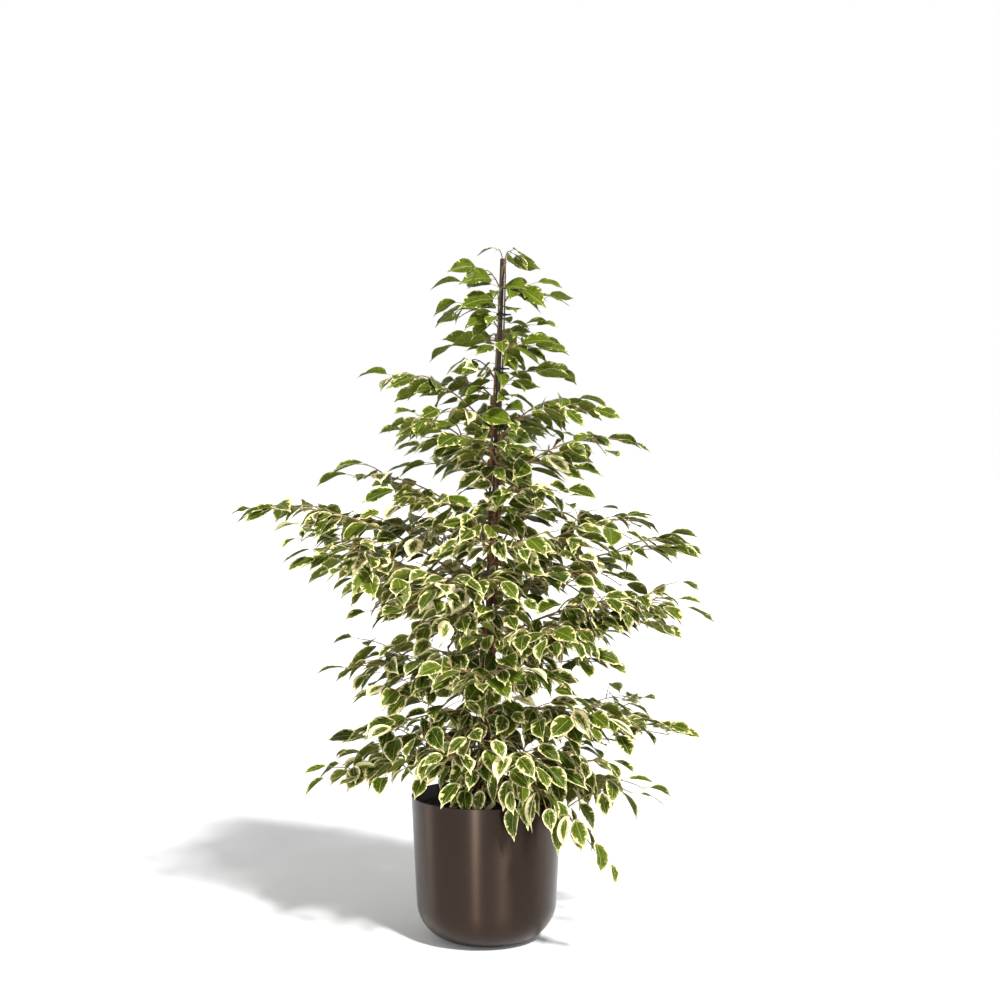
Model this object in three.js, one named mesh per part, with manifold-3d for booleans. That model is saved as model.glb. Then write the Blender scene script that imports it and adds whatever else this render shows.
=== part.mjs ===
// A variegated weeping fig, tied to a stake, in its nursery pot inside a round metal planter.
// Millimetres and degrees, +Z up, -Y towards the viewer. The origin is the centre of the planter's flat base.
import * as THREE from "three";
import { mergeVertices } from "three/addons/utils/BufferGeometryUtils.js";
import Module from "manifold-3d";

const wasm = await Module();
wasm.setup();

// The gap that neighbouring pieces keep, and how finely round things are divided
const GAP = 0.3;
const ROUND_SIDES = 32;

// The planter: a thin shell with a flat base and a rounded bottom corner
const PLANTER_RADIUS = 128;
const PLANTER_HEIGHT = 245;
const PLANTER_WALL = 2.2;
const BASE_RADIUS = 53;
const CORNER_RADIUS = 66;
const CORNER_STEPS = 4;

// The nursery pot: a plastic cone with a rolled rim, standing on the planter's rounded corner
const NURSERY_FOOT_RADIUS = 80;
const NURSERY_TOP_RADIUS = 107;
const NURSERY_TOP = 225;
const NURSERY_WALL = 1.6;
const NURSERY_RIM_REACH = 4;
const NURSERY_RIM_HEIGHT = 8;

// The soil, highest round the stems
const SOIL_TOP = 214;
const SOIL_EDGE_DROP = 5;
const SOIL_MOUND_RADIUS = 55;

// The stake: a straight rod that leans to the right
const STAKE_FOOT = [-9, 2, 120];
const STAKE_TOP = [27, 0, 1152];
const STAKE_RADIUS = 4;
const STAKE_SIDES = 8;

// The stems, wound round the stake: phase, radius at the soil, and height of the tip
const STEMS = [
  [20, 6.2, 1140],
  [140, 5.4, 1156],
  [262, 5.8, 1085],
];
const STEM_FOOT = 150;
const STEM_TOP_RADIUS = 1.6;
const STEM_TWIST = 250;
const STEM_OFF_STAKE = 0.5;
const STEM_SIDES = 6;
const STEM_STEPS = 13;
const STEM_TAPER = 0.8;
// A branch needs this much stem above it
const STEM_ABOVE = 12;

// The ties round the stems and the stake
const TIE_HEIGHTS = [1058, 967, 403];
const TIE_BAND = 4;
const TIE_THICK = 1.2;
const TIE_SIDES = 12;
const TIE_TAIL = [8, 3.2];

// The branches: height on the stem, azimuth, reach, height of the tip, side twigs
const BRANCHES = [
  [1128, 228, 20, 1166, 0],
  [1120, 312, 22, 1162, 0],
  [1100, 202, 32, 1130, 1],
  [1080, 6, 42, 1108, 1],
  [1068, 262, 34, 1092, 0],
  [1036, 176, 56, 1076, 1],
  [1014, -12, 40, 1040, 0],
  [992, 98, 60, 1028, 2],
  [978, 292, 56, 1006, 1],
  [950, 214, 50, 980, 1],
  [936, -24, 66, 960, 1],
  [908, 132, 96, 944, 2],
  [862, 176, 166, 954, 4],
  [850, 3, 124, 914, 4],
  [828, 62, 120, 886, 4],
  [806, 252, 118, 842, 3],
  [796, 206, 142, 878, 4],
  [770, -6, 204, 848, 3],
  [748, 112, 180, 820, 4],
  [726, 304, 112, 764, 4],
  [684, 174, 228, 784, 4],
  [672, 232, 190, 746, 4],
  [650, 68, 200, 722, 4],
  [632, 285, 195, 676, 5],
  [604, 16, 252, 706, 5],
  [592, 148, 270, 700, 5],
  [576, 183, 384, 730, 7],
  [560, -3, 302, 660, 5],
  [546, 252, 240, 614, 5],
  [530, 202, 298, 666, 6],
  [518, 98, 285, 610, 5],
  [505, 344, 300, 580, 6],
  [488, 300, 245, 532, 5],
  [478, 170, 188, 590, 5],
  [460, 4, 318, 556, 6],
  [446, 52, 270, 506, 5],
  [434, 266, 228, 462, 5],
  [428, 188, 218, 466, 5],
  [416, 126, 240, 434, 5],
  [388, 330, 180, 394, 5],
  [386, 222, 184, 384, 4],
  [356, -2, 300, 350, 6],
  [336, 177, 190, 312, 4],
  [332, 80, 250, 334, 5],
  [326, 250, 200, 334, 4],
  [310, 292, 196, 326, 4],
  [304, 190, 250, 278, 5],
  [298, 341, 252, 266, 5],
  [290, 138, 230, 262, 5],
  [280, 322, 240, 168, 5],
];
// The last of them hangs over the planter's rim
const HANGING = BRANCHES.length - 1;

// A branch arches out of its stem: its knee lies at this share of the reach, above the higher end
const MAIN = {
  root: 0.2,
  knee: 0.52,
  rise: 0.05,
  lift: 6,
  thick: 1.2,
  thickPerReach: 0.0062,
  mostOfStem: 0.62,
  clearFrom: 14,
  turns: [0, 7, -7, 14, -14, 21, -21],
};
// Its side twigs take turns left and right
const SIDE = {
  first: 0.05,
  span: 0.83,
  place: [0.1, 0.8],
  spread: [30, 62],
  slope: [-0.36, 0.38],
  arch: [0.08, 0.24],
  share: [0.42, 0.58],
  extra: [32, 52],
  forward: 0.97,
  turns: [0, 9, -9, 18, -18, 27],
};
// The longer side twigs fork once or twice more
const FORK = {
  from: 88,
  twiceFrom: 125,
  first: 0.3,
  step: 0.3,
  shift: [-0.08, 0.08],
  along: 0.4,
  spread: [28, 60],
  slope: [-0.5, 0.6],
  length: [38, 66],
  arch: 0.1,
  forward: 0.95,
  turns: [0, 14, -14, 28, -28],
};
// The leaves stand along each twig, left and right in turn, and one at its end
const LEAF = {
  spacing: 23,
  firstOnMain: 14,
  firstOnTwig: 12,
  shift: [-3, 3],
  endTurn: [-14, 14],
  turn: [14, 66],
  lowFrom: 900,
  innerFrom: 240,
  droop: [4, 36],
  droopInside: 32,
  droopLow: 8,
  droopHanging: 42,
  mostDroop: 88,
  roll: [-34, 34],
  rollInside: 0.8,
  arches: [20, 34, 50],
  length: [43, 67],
  endLength: 0.9,
  stalk: [12, 19],
  rise: [-0.1, 0.45],
};
// Other ways for a leaf to turn and droop when its first place is taken
const LEAF_TRIES = [
  [0, 0],
  [18, 8],
  [-18, 8],
  [0, 22],
  [34, 0],
  [-34, 0],
  [0, -16],
  [26, 30],
  [-26, 30],
  [50, 14],
  [-50, 14],
];
// Places on a blade that stay clear of the rest: across and along, as shares of its length
const LEAF_SPOTS = [
  [0, 0.1],
  [0, 0.35],
  [0, 0.7],
  [0, 0.97],
  [0.2, 0.24],
  [-0.2, 0.24],
  [0.2, 0.44],
  [-0.2, 0.44],
  [0.13, 0.64],
  [-0.13, 0.64],
];
// The room that a point of each kind needs round it, and the share kept within one branch
const ROOM = { main: 2, twig: 2, newTwig: 2.4, leaf: 4.2, within: 0.62 };
const TWIG_STEP = 6;
const LEAST_STEPS = { main: 4, twig: 3 };
const SUPPORT_STEP = 6;

// What keeps the plant out of the pots and off the ground
const RIM_CLEAR = 6;
const WALL_CLEAR = 7;
const SOIL_CLEAR = 5;
const GROUND_CLEAR = 12;

// The solids of the branches hold the main and side twigs, with their end leaves and every fifth other leaf
const KEEP_EVERY = 5;
const KEPT_PLACE = 1;
const MAIN_STEPS = 3;
const TWIG_STEPS = 2;
const SHORT_TWIG = 120;
const MAIN_TIP_RADIUS = 1.3;
const TWIG_RADII = [1.7, 1.1];
const STALK_RADIUS = 0.8;
const NECK_RADIUS = 1.1;
// Half width and keel depth of a blade at places along it: shares of its length, and mm
const BLADE = [
  [0.3, 0.25, 1.6],
  [0.6, 0.19, 1.4],
];
// The small three-cornered openings that twigs and stalks grow from: the most half length of each, and the
// half width as a share of the side that they are in
const OPENINGS = { twig: 2.2, stalk: 1.4 };
const OPENING_SHARE = 0.3;
const OPENING_EDGE = 0.4;
const OPENING_SPACE = 4.5;
const LEAST_LEAN = 0.35;
const LAST_SEAT = 0.999;
// How far a leaf or twig stays from other branches
const CLEAR_OF_OTHERS = 0.35;
const TOUCH = 1e-4;

const UP = [0, 0, 1];
const radians = (angle) => angle * (Math.PI / 180);
const degrees = (angle) => angle * (180 / Math.PI);
const add = (a, b, k = 1) => [a[0] + b[0] * k, a[1] + b[1] * k, a[2] + b[2] * k];
const less = (a, b) => add(a, b, -1);
const dot = (a, b) => a[0] * b[0] + a[1] * b[1] + a[2] * b[2];
const size = (a) => Math.sqrt(dot(a, a));
const distance = (a, b) => size(less(a, b));
const cross = (a, b) => [
  a[1] * b[2] - a[2] * b[1],
  a[2] * b[0] - a[0] * b[2],
  a[0] * b[1] - a[1] * b[0],
];
const unit = (a) => {
  const n = size(a);
  return [a[0] / n, a[1] / n, a[2] / n];
};
const level = (angle) => [Math.cos(radians(angle)), Math.sin(radians(angle)), 0];
const headingOf = (a) => degrees(Math.atan2(a[1], a[0]));
const middleOf = (points) => points.reduce((sum, point) => add(sum, point, 1 / points.length), [0, 0, 0]);

// A curve with one knee
function pointOn(curve, t) {
  const [a, b, c] = [(1 - t) * (1 - t), 2 * t * (1 - t), t * t];
  return [0, 1, 2].map((i) => a * curve[0][i] + b * curve[1][i] + c * curve[2][i]);
}

function directionOn(curve, t) {
  const [a, b] = [2 * (1 - t), 2 * t];
  return unit(
    [0, 1, 2].map((i) => a * (curve[1][i] - curve[0][i]) + b * (curve[2][i] - curve[1][i])),
  );
}

function pointsOn(curve, steps) {
  return Array.from({ length: steps }, (_, i) => pointOn(curve, (i + 1) / steps));
}

// A seeded stream of numbers, the same on every run
class Draw {
  constructor(seed) {
    this.state = (seed * 7919 + 104729) % 2147483647;
  }

  between([low, high]) {
    this.state = (this.state * 16807) % 2147483647;
    return low + ((high - low) * this.state) / 2147483647;
  }

  hand() {
    return this.between([0, 1]) < 0.5 ? 1 : -1;
  }
}

// The points that are taken, each with its room and its owner
class Taken {
  constructor() {
    this.points = [];
  }

  put(points, room, owner) {
    for (const at of points) this.points.push({ at, room, owner });
  }

  free(points, room, owner, within = 0) {
    return this.points.every((other) => {
      const need = (other.room + room) * (other.owner === owner ? within : 1);
      return points.every((at) => {
        const away = less(other.at, at);
        return dot(away, away) >= need * need;
      });
    });
  }
}

function stakeAt(z) {
  const share = (z - STAKE_FOOT[2]) / (STAKE_TOP[2] - STAKE_FOOT[2]);
  return [0, 1].map((i) => STAKE_FOOT[i] + (STAKE_TOP[i] - STAKE_FOOT[i]) * share).concat(z);
}

// The centre, radius and angle round the stake of a stem at a height
function stemAt(stem, z) {
  const [phase, base, top] = stem;
  const high = Math.max(z, SOIL_TOP);
  const share = Math.min(1, (high - SOIL_TOP) / (top - SOIL_TOP));
  const radius = base + (STEM_TOP_RADIUS - base) * Math.pow(share, STEM_TAPER);
  const angle = phase + (STEM_TWIST * (high - SOIL_TOP)) / (STAKE_TOP[2] - SOIL_TOP);
  const centre = add(stakeAt(z), level(angle), STAKE_RADIUS + radius + STEM_OFF_STAKE);
  return { centre, radius, angle };
}

function clearOfPots(points) {
  return points.every(([x, y, z]) => {
    const out = Math.sqrt(x * x + y * y);
    const inWall = z < PLANTER_HEIGHT + RIM_CLEAR && Math.abs(out - PLANTER_RADIUS) < WALL_CLEAR;
    const inSoil = out < PLANTER_RADIUS && z < SOIL_TOP + SOIL_CLEAR;
    return !inWall && !inSoil && z >= GROUND_CLEAR;
  });
}

const SUPPORTS = -1;

function placeSupports(taken) {
  for (let z = SOIL_TOP; z < STAKE_TOP[2]; z += SUPPORT_STEP) {
    taken.put([stakeAt(z)], STAKE_RADIUS, SUPPORTS);
    for (const stem of STEMS.filter(([, , top]) => z < top)) {
      const { centre, radius } = stemAt(stem, z);
      taken.put([centre], radius, SUPPORTS);
    }
  }
}

// The stem that a branch grows from: the one that faces its way
function stemFor(height, azimuth) {
  const facing = (stem) => Math.cos(radians(stemAt(stem, height).angle - azimuth));
  const tall = STEMS.filter((stem) => stem[2] > height + STEM_ABOVE || stem === STEMS[1]);
  return tall.reduce((best, stem) => (facing(stem) > facing(best) ? stem : best));
}

function growMain([height, azimuth, reach, tipHeight], branch, taken) {
  const { centre, radius } = stemAt(stemFor(height, azimuth), height);
  const root = add(centre, level(azimuth), MAIN.root * radius);
  const kneeHeight = Math.max(tipHeight, height) + MAIN.rise * reach + MAIN.lift;
  const steps = Math.max(LEAST_STEPS.main, Math.floor(reach / TWIG_STEP));
  const curves = MAIN.turns.map((turn) => {
    const out = level(azimuth + turn);
    const knee = add(centre, out, reach * MAIN.knee);
    const tip = add(centre, out, reach);
    return [root, [knee[0], knee[1], kneeHeight], [tip[0], tip[1], tipHeight]];
  });
  const free = curves.find((curve) => {
    const far = pointsOn(curve, steps).filter((at) => distance(at, root) > MAIN.clearFrom);
    return taken.free(far, ROOM.newTwig, branch);
  });
  const curve = free || curves[0];
  taken.put(pointsOn(curve, steps), ROOM.main, branch);
  return {
    branch,
    kind: "main",
    curve,
    thick: Math.min(MAIN.mostOfStem * radius, MAIN.thick + MAIN.thickPerReach * reach),
    length: distance(curve[0], curve[1]) + distance(curve[1], curve[2]),
  };
}

// Puts a twig at the first turn at which it is clear, or nowhere
function placeTwig(twig, curveAt, turns, taken) {
  const steps = Math.max(LEAST_STEPS.twig, Math.floor(twig.length / TWIG_STEP));
  for (const turn of turns) {
    const curve = curveAt(turn);
    const points = pointsOn(curve, steps);
    if (clearOfPots(points) && taken.free(points, ROOM.newTwig, twig.branch)) {
      taken.put(points, ROOM.twig, twig.branch);
      return [{ ...twig, curve }];
    }
  }
  return [];
}

function growSides(main, [, , reach, , count], taken) {
  const draw = new Draw(main.branch + 101);
  let hand = draw.hand();
  const twigs = [];
  for (let s = 0; s < count; s += 1) {
    const t = SIDE.first + (SIDE.span * (s + draw.between(SIDE.place))) / count;
    const start = pointOn(main.curve, t);
    const heading = headingOf(directionOn(main.curve, t));
    const spread = draw.between(SIDE.spread);
    const slope = draw.between(SIDE.slope);
    const arch = draw.between(SIDE.arch);
    const length = draw.between(SIDE.share) * (1 - t) * reach + draw.between(SIDE.extra);
    hand = -hand;
    const way = hand;
    const curveAt = (turn) => {
      const out = level(heading + way * (spread + turn));
      const knee = add(add(start, out, length * 0.5), UP, length * (arch + slope * 0.5));
      return [start, knee, add(add(start, out, length * SIDE.forward), UP, length * slope)];
    };
    const twig = { branch: main.branch, kind: "side", start: t, length };
    twigs.push(...placeTwig(twig, curveAt, SIDE.turns, taken));
  }
  return twigs;
}

function growForks(side, number, taken) {
  const draw = new Draw(number + 501);
  let hand = draw.hand();
  const twigs = [];
  const count = side.length < FORK.twiceFrom ? 1 : 2;
  for (let s = 0; s < count; s += 1) {
    const start = pointOn(side.curve, FORK.first + FORK.step * s + draw.between(FORK.shift));
    const heading = headingOf(directionOn(side.curve, FORK.along));
    const spread = draw.between(FORK.spread);
    const slope = draw.between(FORK.slope);
    const length = draw.between(FORK.length);
    hand = -hand;
    const way = hand;
    const curveAt = (turn) => {
      const out = level(heading + way * (spread + turn));
      const knee = add(add(start, out, length * 0.5), UP, length * (FORK.arch + slope * 0.5));
      return [start, knee, add(add(start, out, length * FORK.forward), UP, length * slope)];
    };
    const twig = { branch: side.branch, kind: "fork", length };
    twigs.push(...placeTwig(twig, curveAt, FORK.turns, taken));
  }
  return twigs;
}

// The axes of a blade at its base: to its side, along it and up from its face
function leafFrame(base, heading, droop, roll, arch) {
  const start = radians(droop - arch / 2);
  const out = level(heading);
  const along = unit([out[0] * Math.cos(start), out[1] * Math.cos(start), -Math.sin(start)]);
  const flat = unit(cross(along, UP));
  const lift = cross(flat, along);
  const [c, s] = [Math.cos(radians(roll)), Math.sin(radians(roll))];
  const side = [0, 1, 2].map((i) => flat[i] * c + lift[i] * s);
  return { base, side, along, face: cross(side, along), arch };
}

// A place on the arched blade, and the direction up from its face there
function onLeaf(frame, length, across, share) {
  const bend = radians(frame.arch);
  const forward = Math.sin(bend * share) / bend;
  const down = (Math.cos(bend * share) - 1) / bend;
  const sideways = add(frame.base, frame.side, across * length);
  return add(add(sideways, frame.along, forward * length), frame.face, down * length);
}

function faceAt(frame, share) {
  const turn = radians(frame.arch * share);
  return unit(add(frame.along.map((v) => v * Math.sin(turn)), frame.face, Math.cos(turn)));
}

function growLeaves(twig, number, taken) {
  const draw = new Draw(number + 1001);
  const first = twig.kind === "main" ? LEAF.firstOnMain : LEAF.firstOnTwig;
  const count = Math.max(1, Math.floor((twig.length - first) / LEAF.spacing));
  let hand = draw.hand();
  const leaves = [];
  for (let j = 0; j <= count; j += 1) {
    const last = j === count;
    const t = last ? 1 : Math.min(1, (first + j * LEAF.spacing + draw.between(LEAF.shift)) / twig.length);
    const at = pointOn(twig.curve, t);
    const heading = headingOf(directionOn(twig.curve, t));
    hand = -hand;
    const turn = last ? draw.between(LEAF.endTurn) : hand * draw.between(LEAF.turn);
    const low = Math.max(0, 1 - at[2] / LEAF.lowFrom);
    const inner = Math.max(0, 1 - Math.sqrt(at[0] * at[0] + at[1] * at[1]) / LEAF.innerFrom);
    const hanging = twig.branch === HANGING ? LEAF.droopHanging : 0;
    const sag = LEAF.droopInside * inner * low + LEAF.droopLow * low + hanging;
    const droop = draw.between(LEAF.droop) + sag;
    const roll = draw.between(LEAF.roll) * (1 + LEAF.rollInside * inner);
    const arch = LEAF.arches[Math.floor(draw.between([0, LEAF.arches.length]))];
    const length = draw.between(LEAF.length) * (last ? LEAF.endLength : 1);
    const stalk = draw.between(LEAF.stalk);
    const rise = draw.between(LEAF.rise);
    for (const [moreTurn, moreDroop] of LEAF_TRIES) {
      const way = heading + turn + moreTurn;
      const base = add(at, unit(add(level(way), UP, rise)), stalk);
      const frame = leafFrame(base, way, Math.min(LEAF.mostDroop, droop + moreDroop), roll, arch);
      const spots = LEAF_SPOTS.map(([across, share]) => onLeaf(frame, length, across, share));
      if (clearOfPots(spots) && taken.free(spots, ROOM.leaf, twig.branch, ROOM.within)) {
        taken.put(spots, ROOM.leaf, twig.branch);
        leaves.push({ branch: twig.branch, twig, t, frame, length, last, index: j });
        break;
      }
    }
  }
  return leaves;
}

// Grows the whole plant: the twigs of every branch, and then their leaves
function grow() {
  const taken = new Taken();
  placeSupports(taken);
  const mains = BRANCHES.map((row, branch) => growMain(row, branch, taken));
  const sides = mains.flatMap((main) => growSides(main, BRANCHES[main.branch], taken));
  const twigs = [...mains, ...sides];
  const forks = twigs.flatMap((twig, number) =>
    twig.kind === "side" && twig.length > FORK.from ? growForks(twig, number, taken) : [],
  );
  twigs.push(...forks);
  const leaves = twigs.flatMap((twig, number) => growLeaves(twig, number, taken));
  return { twigs, leaves };
}

// A closed solid of a geometry's shared vertices
function solidOf(geometry) {
  const bare = geometry.clone();
  bare.deleteAttribute("normal");
  bare.deleteAttribute("uv");
  const merged = mergeVertices(bare);
  return new wasm.Manifold(
    new wasm.Mesh({
      numProp: 3,
      vertProperties: new Float32Array(merged.attributes.position.array),
      triVerts: new Uint32Array(merged.index.array),
    }),
  );
}

// A solid over rings of equal count, each counter-clockwise about the way on, that may end in a point
function loft(rings) {
  const starts = rings.map((_, i) => rings.slice(0, i).flat().length);
  const faces = [];
  rings.slice(1).forEach((ring, i) => {
    const [a, b, n] = [starts[i], starts[i + 1], rings[i].length];
    for (let k = 0; k < n; k += 1) {
      const next = (k + 1) % n;
      faces.push(a + k, a + next, b + (next % ring.length));
      if (ring.length > 1) faces.push(a + k, b + next, b + k);
    }
  });
  const last = starts[starts.length - 1];
  for (let k = 1; k < rings[0].length - 1; k += 1) faces.push(0, k + 1, k);
  for (let k = 1; k < rings[rings.length - 1].length - 1; k += 1) faces.push(last, last + k, last + k + 1);
  const geometry = new THREE.BufferGeometry();
  geometry.setAttribute("position", new THREE.Float32BufferAttribute(rings.flat(2), 3));
  geometry.setIndex(faces);
  return solidOf(geometry);
}

// A tapering tube along points
function tube(points, radii, sides) {
  const rings = points.map((at, i) => {
    const way = unit(less(points[Math.min(i + 1, points.length - 1)], points[Math.max(i - 1, 0)]));
    const across = unit(cross(way, Math.abs(way[2]) < 0.9 ? UP : [1, 0, 0]));
    const over = cross(way, across);
    return Array.from({ length: sides }, (_, k) => {
      const angle = (2 * Math.PI * (k + 0.5)) / sides;
      return add(add(at, across, radii[i] * Math.cos(angle)), over, radii[i] * Math.sin(angle));
    });
  });
  return loft(rings);
}

// A turned solid from an outline of radius and height that starts and ends on the axis
function turned(outline) {
  const points = outline.map(([radius, height]) => new THREE.Vector2(radius, height));
  const geometry = new THREE.LatheGeometry(points, ROUND_SIDES);
  return solidOf(geometry.rotateX(Math.PI / 2));
}

// The planter's outline, from the middle of its base up the outside, moved in by a wall's thickness
function planterCurve(inset) {
  const centre = [BASE_RADIUS, CORNER_RADIUS];
  const outline = [[0, inset]];
  for (let i = 0; i <= CORNER_STEPS; i += 1) {
    const angle = radians((90 * i) / CORNER_STEPS);
    const radius = CORNER_RADIUS - inset;
    outline.push([centre[0] + radius * Math.sin(angle), centre[1] - radius * Math.cos(angle)]);
  }
  outline.push([PLANTER_RADIUS - inset, PLANTER_HEIGHT]);
  return outline;
}

// The height at which an outline first reaches a radius
function heightAtRadius(outline, radius) {
  const i = outline.findIndex(([out]) => out >= radius);
  const [[r0, z0], [r1, z1]] = [outline[i - 1], outline[i]];
  return z0 + ((z1 - z0) * (radius - r0)) / (r1 - r0);
}

const NURSERY_FOOT = heightAtRadius(planterCurve(PLANTER_WALL), NURSERY_FOOT_RADIUS) + GAP;

// The nursery pot's outer radius at a height, below its rim
function nurseryRadius(z) {
  const share = (z - NURSERY_FOOT) / (NURSERY_TOP - NURSERY_FOOT);
  return NURSERY_FOOT_RADIUS + (NURSERY_TOP_RADIUS - NURSERY_FOOT_RADIUS) * share;
}

function planter() {
  return turned([...planterCurve(0), ...planterCurve(PLANTER_WALL).reverse()]);
}

function growPot() {
  const underRim = NURSERY_TOP - NURSERY_RIM_HEIGHT;
  const floor = NURSERY_FOOT + NURSERY_WALL;
  return turned([
    [0, NURSERY_FOOT],
    [NURSERY_FOOT_RADIUS, NURSERY_FOOT],
    [nurseryRadius(underRim), underRim],
    [nurseryRadius(underRim) + NURSERY_RIM_REACH, underRim],
    [NURSERY_TOP_RADIUS + NURSERY_RIM_REACH, NURSERY_TOP],
    [NURSERY_TOP_RADIUS - NURSERY_WALL, NURSERY_TOP],
    [nurseryRadius(floor) - NURSERY_WALL, floor],
    [0, floor],
  ]);
}

function soil() {
  const floor = NURSERY_FOOT + NURSERY_WALL + GAP;
  const edge = SOIL_TOP - SOIL_EDGE_DROP;
  const inside = NURSERY_WALL + GAP;
  const whole = turned([
    [0, floor],
    [nurseryRadius(floor) - inside, floor],
    [nurseryRadius(edge) - inside, edge],
    [SOIL_MOUND_RADIUS, SOIL_TOP],
    [0, SOIL_TOP],
  ]);
  return supportSleeves().reduce((rest, hole) => rest.subtract(hole), whole);
}

function stake(extra = 0) {
  const down = [STAKE_FOOT[0], STAKE_FOOT[1], STAKE_FOOT[2] - extra];
  const top = [STAKE_TOP[0], STAKE_TOP[1], STAKE_TOP[2] + extra];
  return tube([down, top], [STAKE_RADIUS + extra, STAKE_RADIUS + extra], STAKE_SIDES);
}

function stem(row, extra = 0) {
  const heights = Array.from(
    { length: STEM_STEPS + 1 },
    (_, i) => SOIL_TOP + ((row[2] - SOIL_TOP) * i) / STEM_STEPS,
  );
  heights.unshift(STEM_FOOT - extra);
  heights[heights.length - 1] += extra;
  const places = heights.map((z) => stemAt(row, z));
  const radii = places.map(({ radius }) => radius + extra);
  return tube(places.map(({ centre }) => centre), radii, STEM_SIDES);
}

// The stake and the stems, grown by the gap, which what fits round them is cut back to
function supportSleeves() {
  const around = GAP / Math.cos(Math.PI / STEM_SIDES);
  return [stake(around), ...STEMS.map((row) => stem(row, around))];
}

// How far a tie reaches in a direction, round the stake and the stems that are there
function tieReach(height, angle, inset) {
  const rounds = STEMS.filter(([, , top]) => top > height + TIE_BAND).map((row) => stemAt(row, height));
  const middle = stakeAt(height);
  const reaches = rounds.map(({ centre, radius }) => {
    return dot(less(centre, middle), level(angle)) + radius;
  });
  return Math.max(STAKE_RADIUS, ...reaches) + inset;
}

// The corners of a tie's outline: where the tangents of neighbouring directions meet
function tieOutline(height, inset) {
  const step = 360 / TIE_SIDES;
  return Array.from({ length: TIE_SIDES }, (_, i) => {
    const [a, b] = [i * step, (i + 1) * step];
    const [reachA, reachB] = [tieReach(height, a, inset), tieReach(height, b, inset)];
    const along = (reachB - reachA * Math.cos(radians(step))) / Math.sin(radians(step));
    const corner = add(level(a).map((v) => v * reachA), level(a + 90), along);
    return new THREE.Vector2(corner[0], corner[1]);
  });
}

function tie(height) {
  const outline = tieOutline(height, 2 * GAP + TIE_THICK);
  const shape = new THREE.Shape(outline);
  shape.holes.push(new THREE.Path(tieOutline(height, 2 * GAP)));
  const middle = stakeAt(height);
  const band = new THREE.ExtrudeGeometry(shape, { depth: TIE_BAND, bevelEnabled: false });
  const ring = solidOf(band.translate(middle[0], middle[1], height - TIE_BAND / 2));
  // The tail stands on the middle of the side that faces right
  const seat = outline[0].clone().add(outline[TIE_SIDES - 1]).multiplyScalar(0.5);
  const [tailLength, tailHeight] = TIE_TAIL;
  const sunk = TIE_THICK / 2;
  const tail = new THREE.BoxGeometry(tailLength + sunk, TIE_BAND / 2, tailHeight);
  tail.translate(middle[0] + seat.x + (tailLength - sunk) / 2, middle[1] + seat.y, height);
  return ring.add(solidOf(tail));
}

// Three corners round a place, one of them below, counter-clockwise about the way on
function cornersAround(centre, way, radius) {
  const across = unit(cross(way, UP));
  const over = cross(way, across);
  return [90, 210, 330].map((angle) => {
    const [c, s] = level(angle);
    return add(add(centre, across, radius * c), over, radius * s);
  });
}

// The straight stretches of a twig's solid, and its radius at their ends
function twigStations(twig) {
  const isMain = twig.kind === "main";
  const sideSteps = twig.length < SHORT_TWIG ? 1 : TWIG_STEPS;
  const steps = isMain ? MAIN_STEPS : sideSteps;
  const [thick, thin] = isMain ? [twig.thick, MAIN_TIP_RADIUS] : TWIG_RADII;
  return Array.from({ length: steps + 1 }, (_, i) => {
    const t = i / steps;
    return { at: pointOn(twig.curve, t), way: directionOn(twig.curve, t), radius: thick + (thin - thick) * t };
  });
}

function twigRings(twig, extra = 0) {
  return twigStations(twig).map(({ at, way, radius }) => cornersAround(at, way, radius + extra));
}

// A three-sided section of a leaf: its two edges and the keel under them
function leafSection(centre, way, side, half, depth) {
  const up = unit(cross(side, way));
  return [add(centre, side, half), add(centre, up, -depth), add(centre, side, -half)];
}

// The sections of a leaf from its neck: widest low down, arched, and drawn out to a tip
function leafRings({ frame, length }, root, extra = 0) {
  const way = unit(less(frame.base, root));
  const neck = NECK_RADIUS + extra;
  const rings = [leafSection(frame.base, unit(add(way, frame.along)), frame.side, neck, neck)];
  for (const [share, half, depth] of BLADE) {
    const up = faceAt(frame, share);
    const centre = add(onLeaf(frame, length, 0, share), up, extra);
    const reach = half * length + extra;
    rings.push([
      add(centre, frame.side, reach),
      add(centre, up, -depth - 2 * extra),
      add(centre, frame.side, -reach),
    ]);
  }
  return [...rings, [onLeaf(frame, length, 0, 1)]];
}

// A leaf with its stalk by itself, for the tests of what it would cross
function looseLeaf(leaf, extra = 0) {
  const root = pointOn(leaf.twig.curve, leaf.t);
  const way = unit(less(leaf.frame.base, root));
  return loft([cornersAround(root, way, STALK_RADIUS + extra), ...leafRings(leaf, root, extra)]);
}

// Whether an edge passes through a face
function edgeThroughFace([from, to], [a, b, c]) {
  const normal = cross(less(b, a), less(c, a));
  const [before, after] = [dot(less(from, a), normal), dot(less(to, a), normal)];
  if (before * after >= 0) return false;
  const at = add(from, less(to, from), before / (before - after));
  return [[a, b], [b, c], [c, a]].every(([p, q]) => dot(cross(less(q, p), less(at, p)), normal) >= 0);
}

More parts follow.
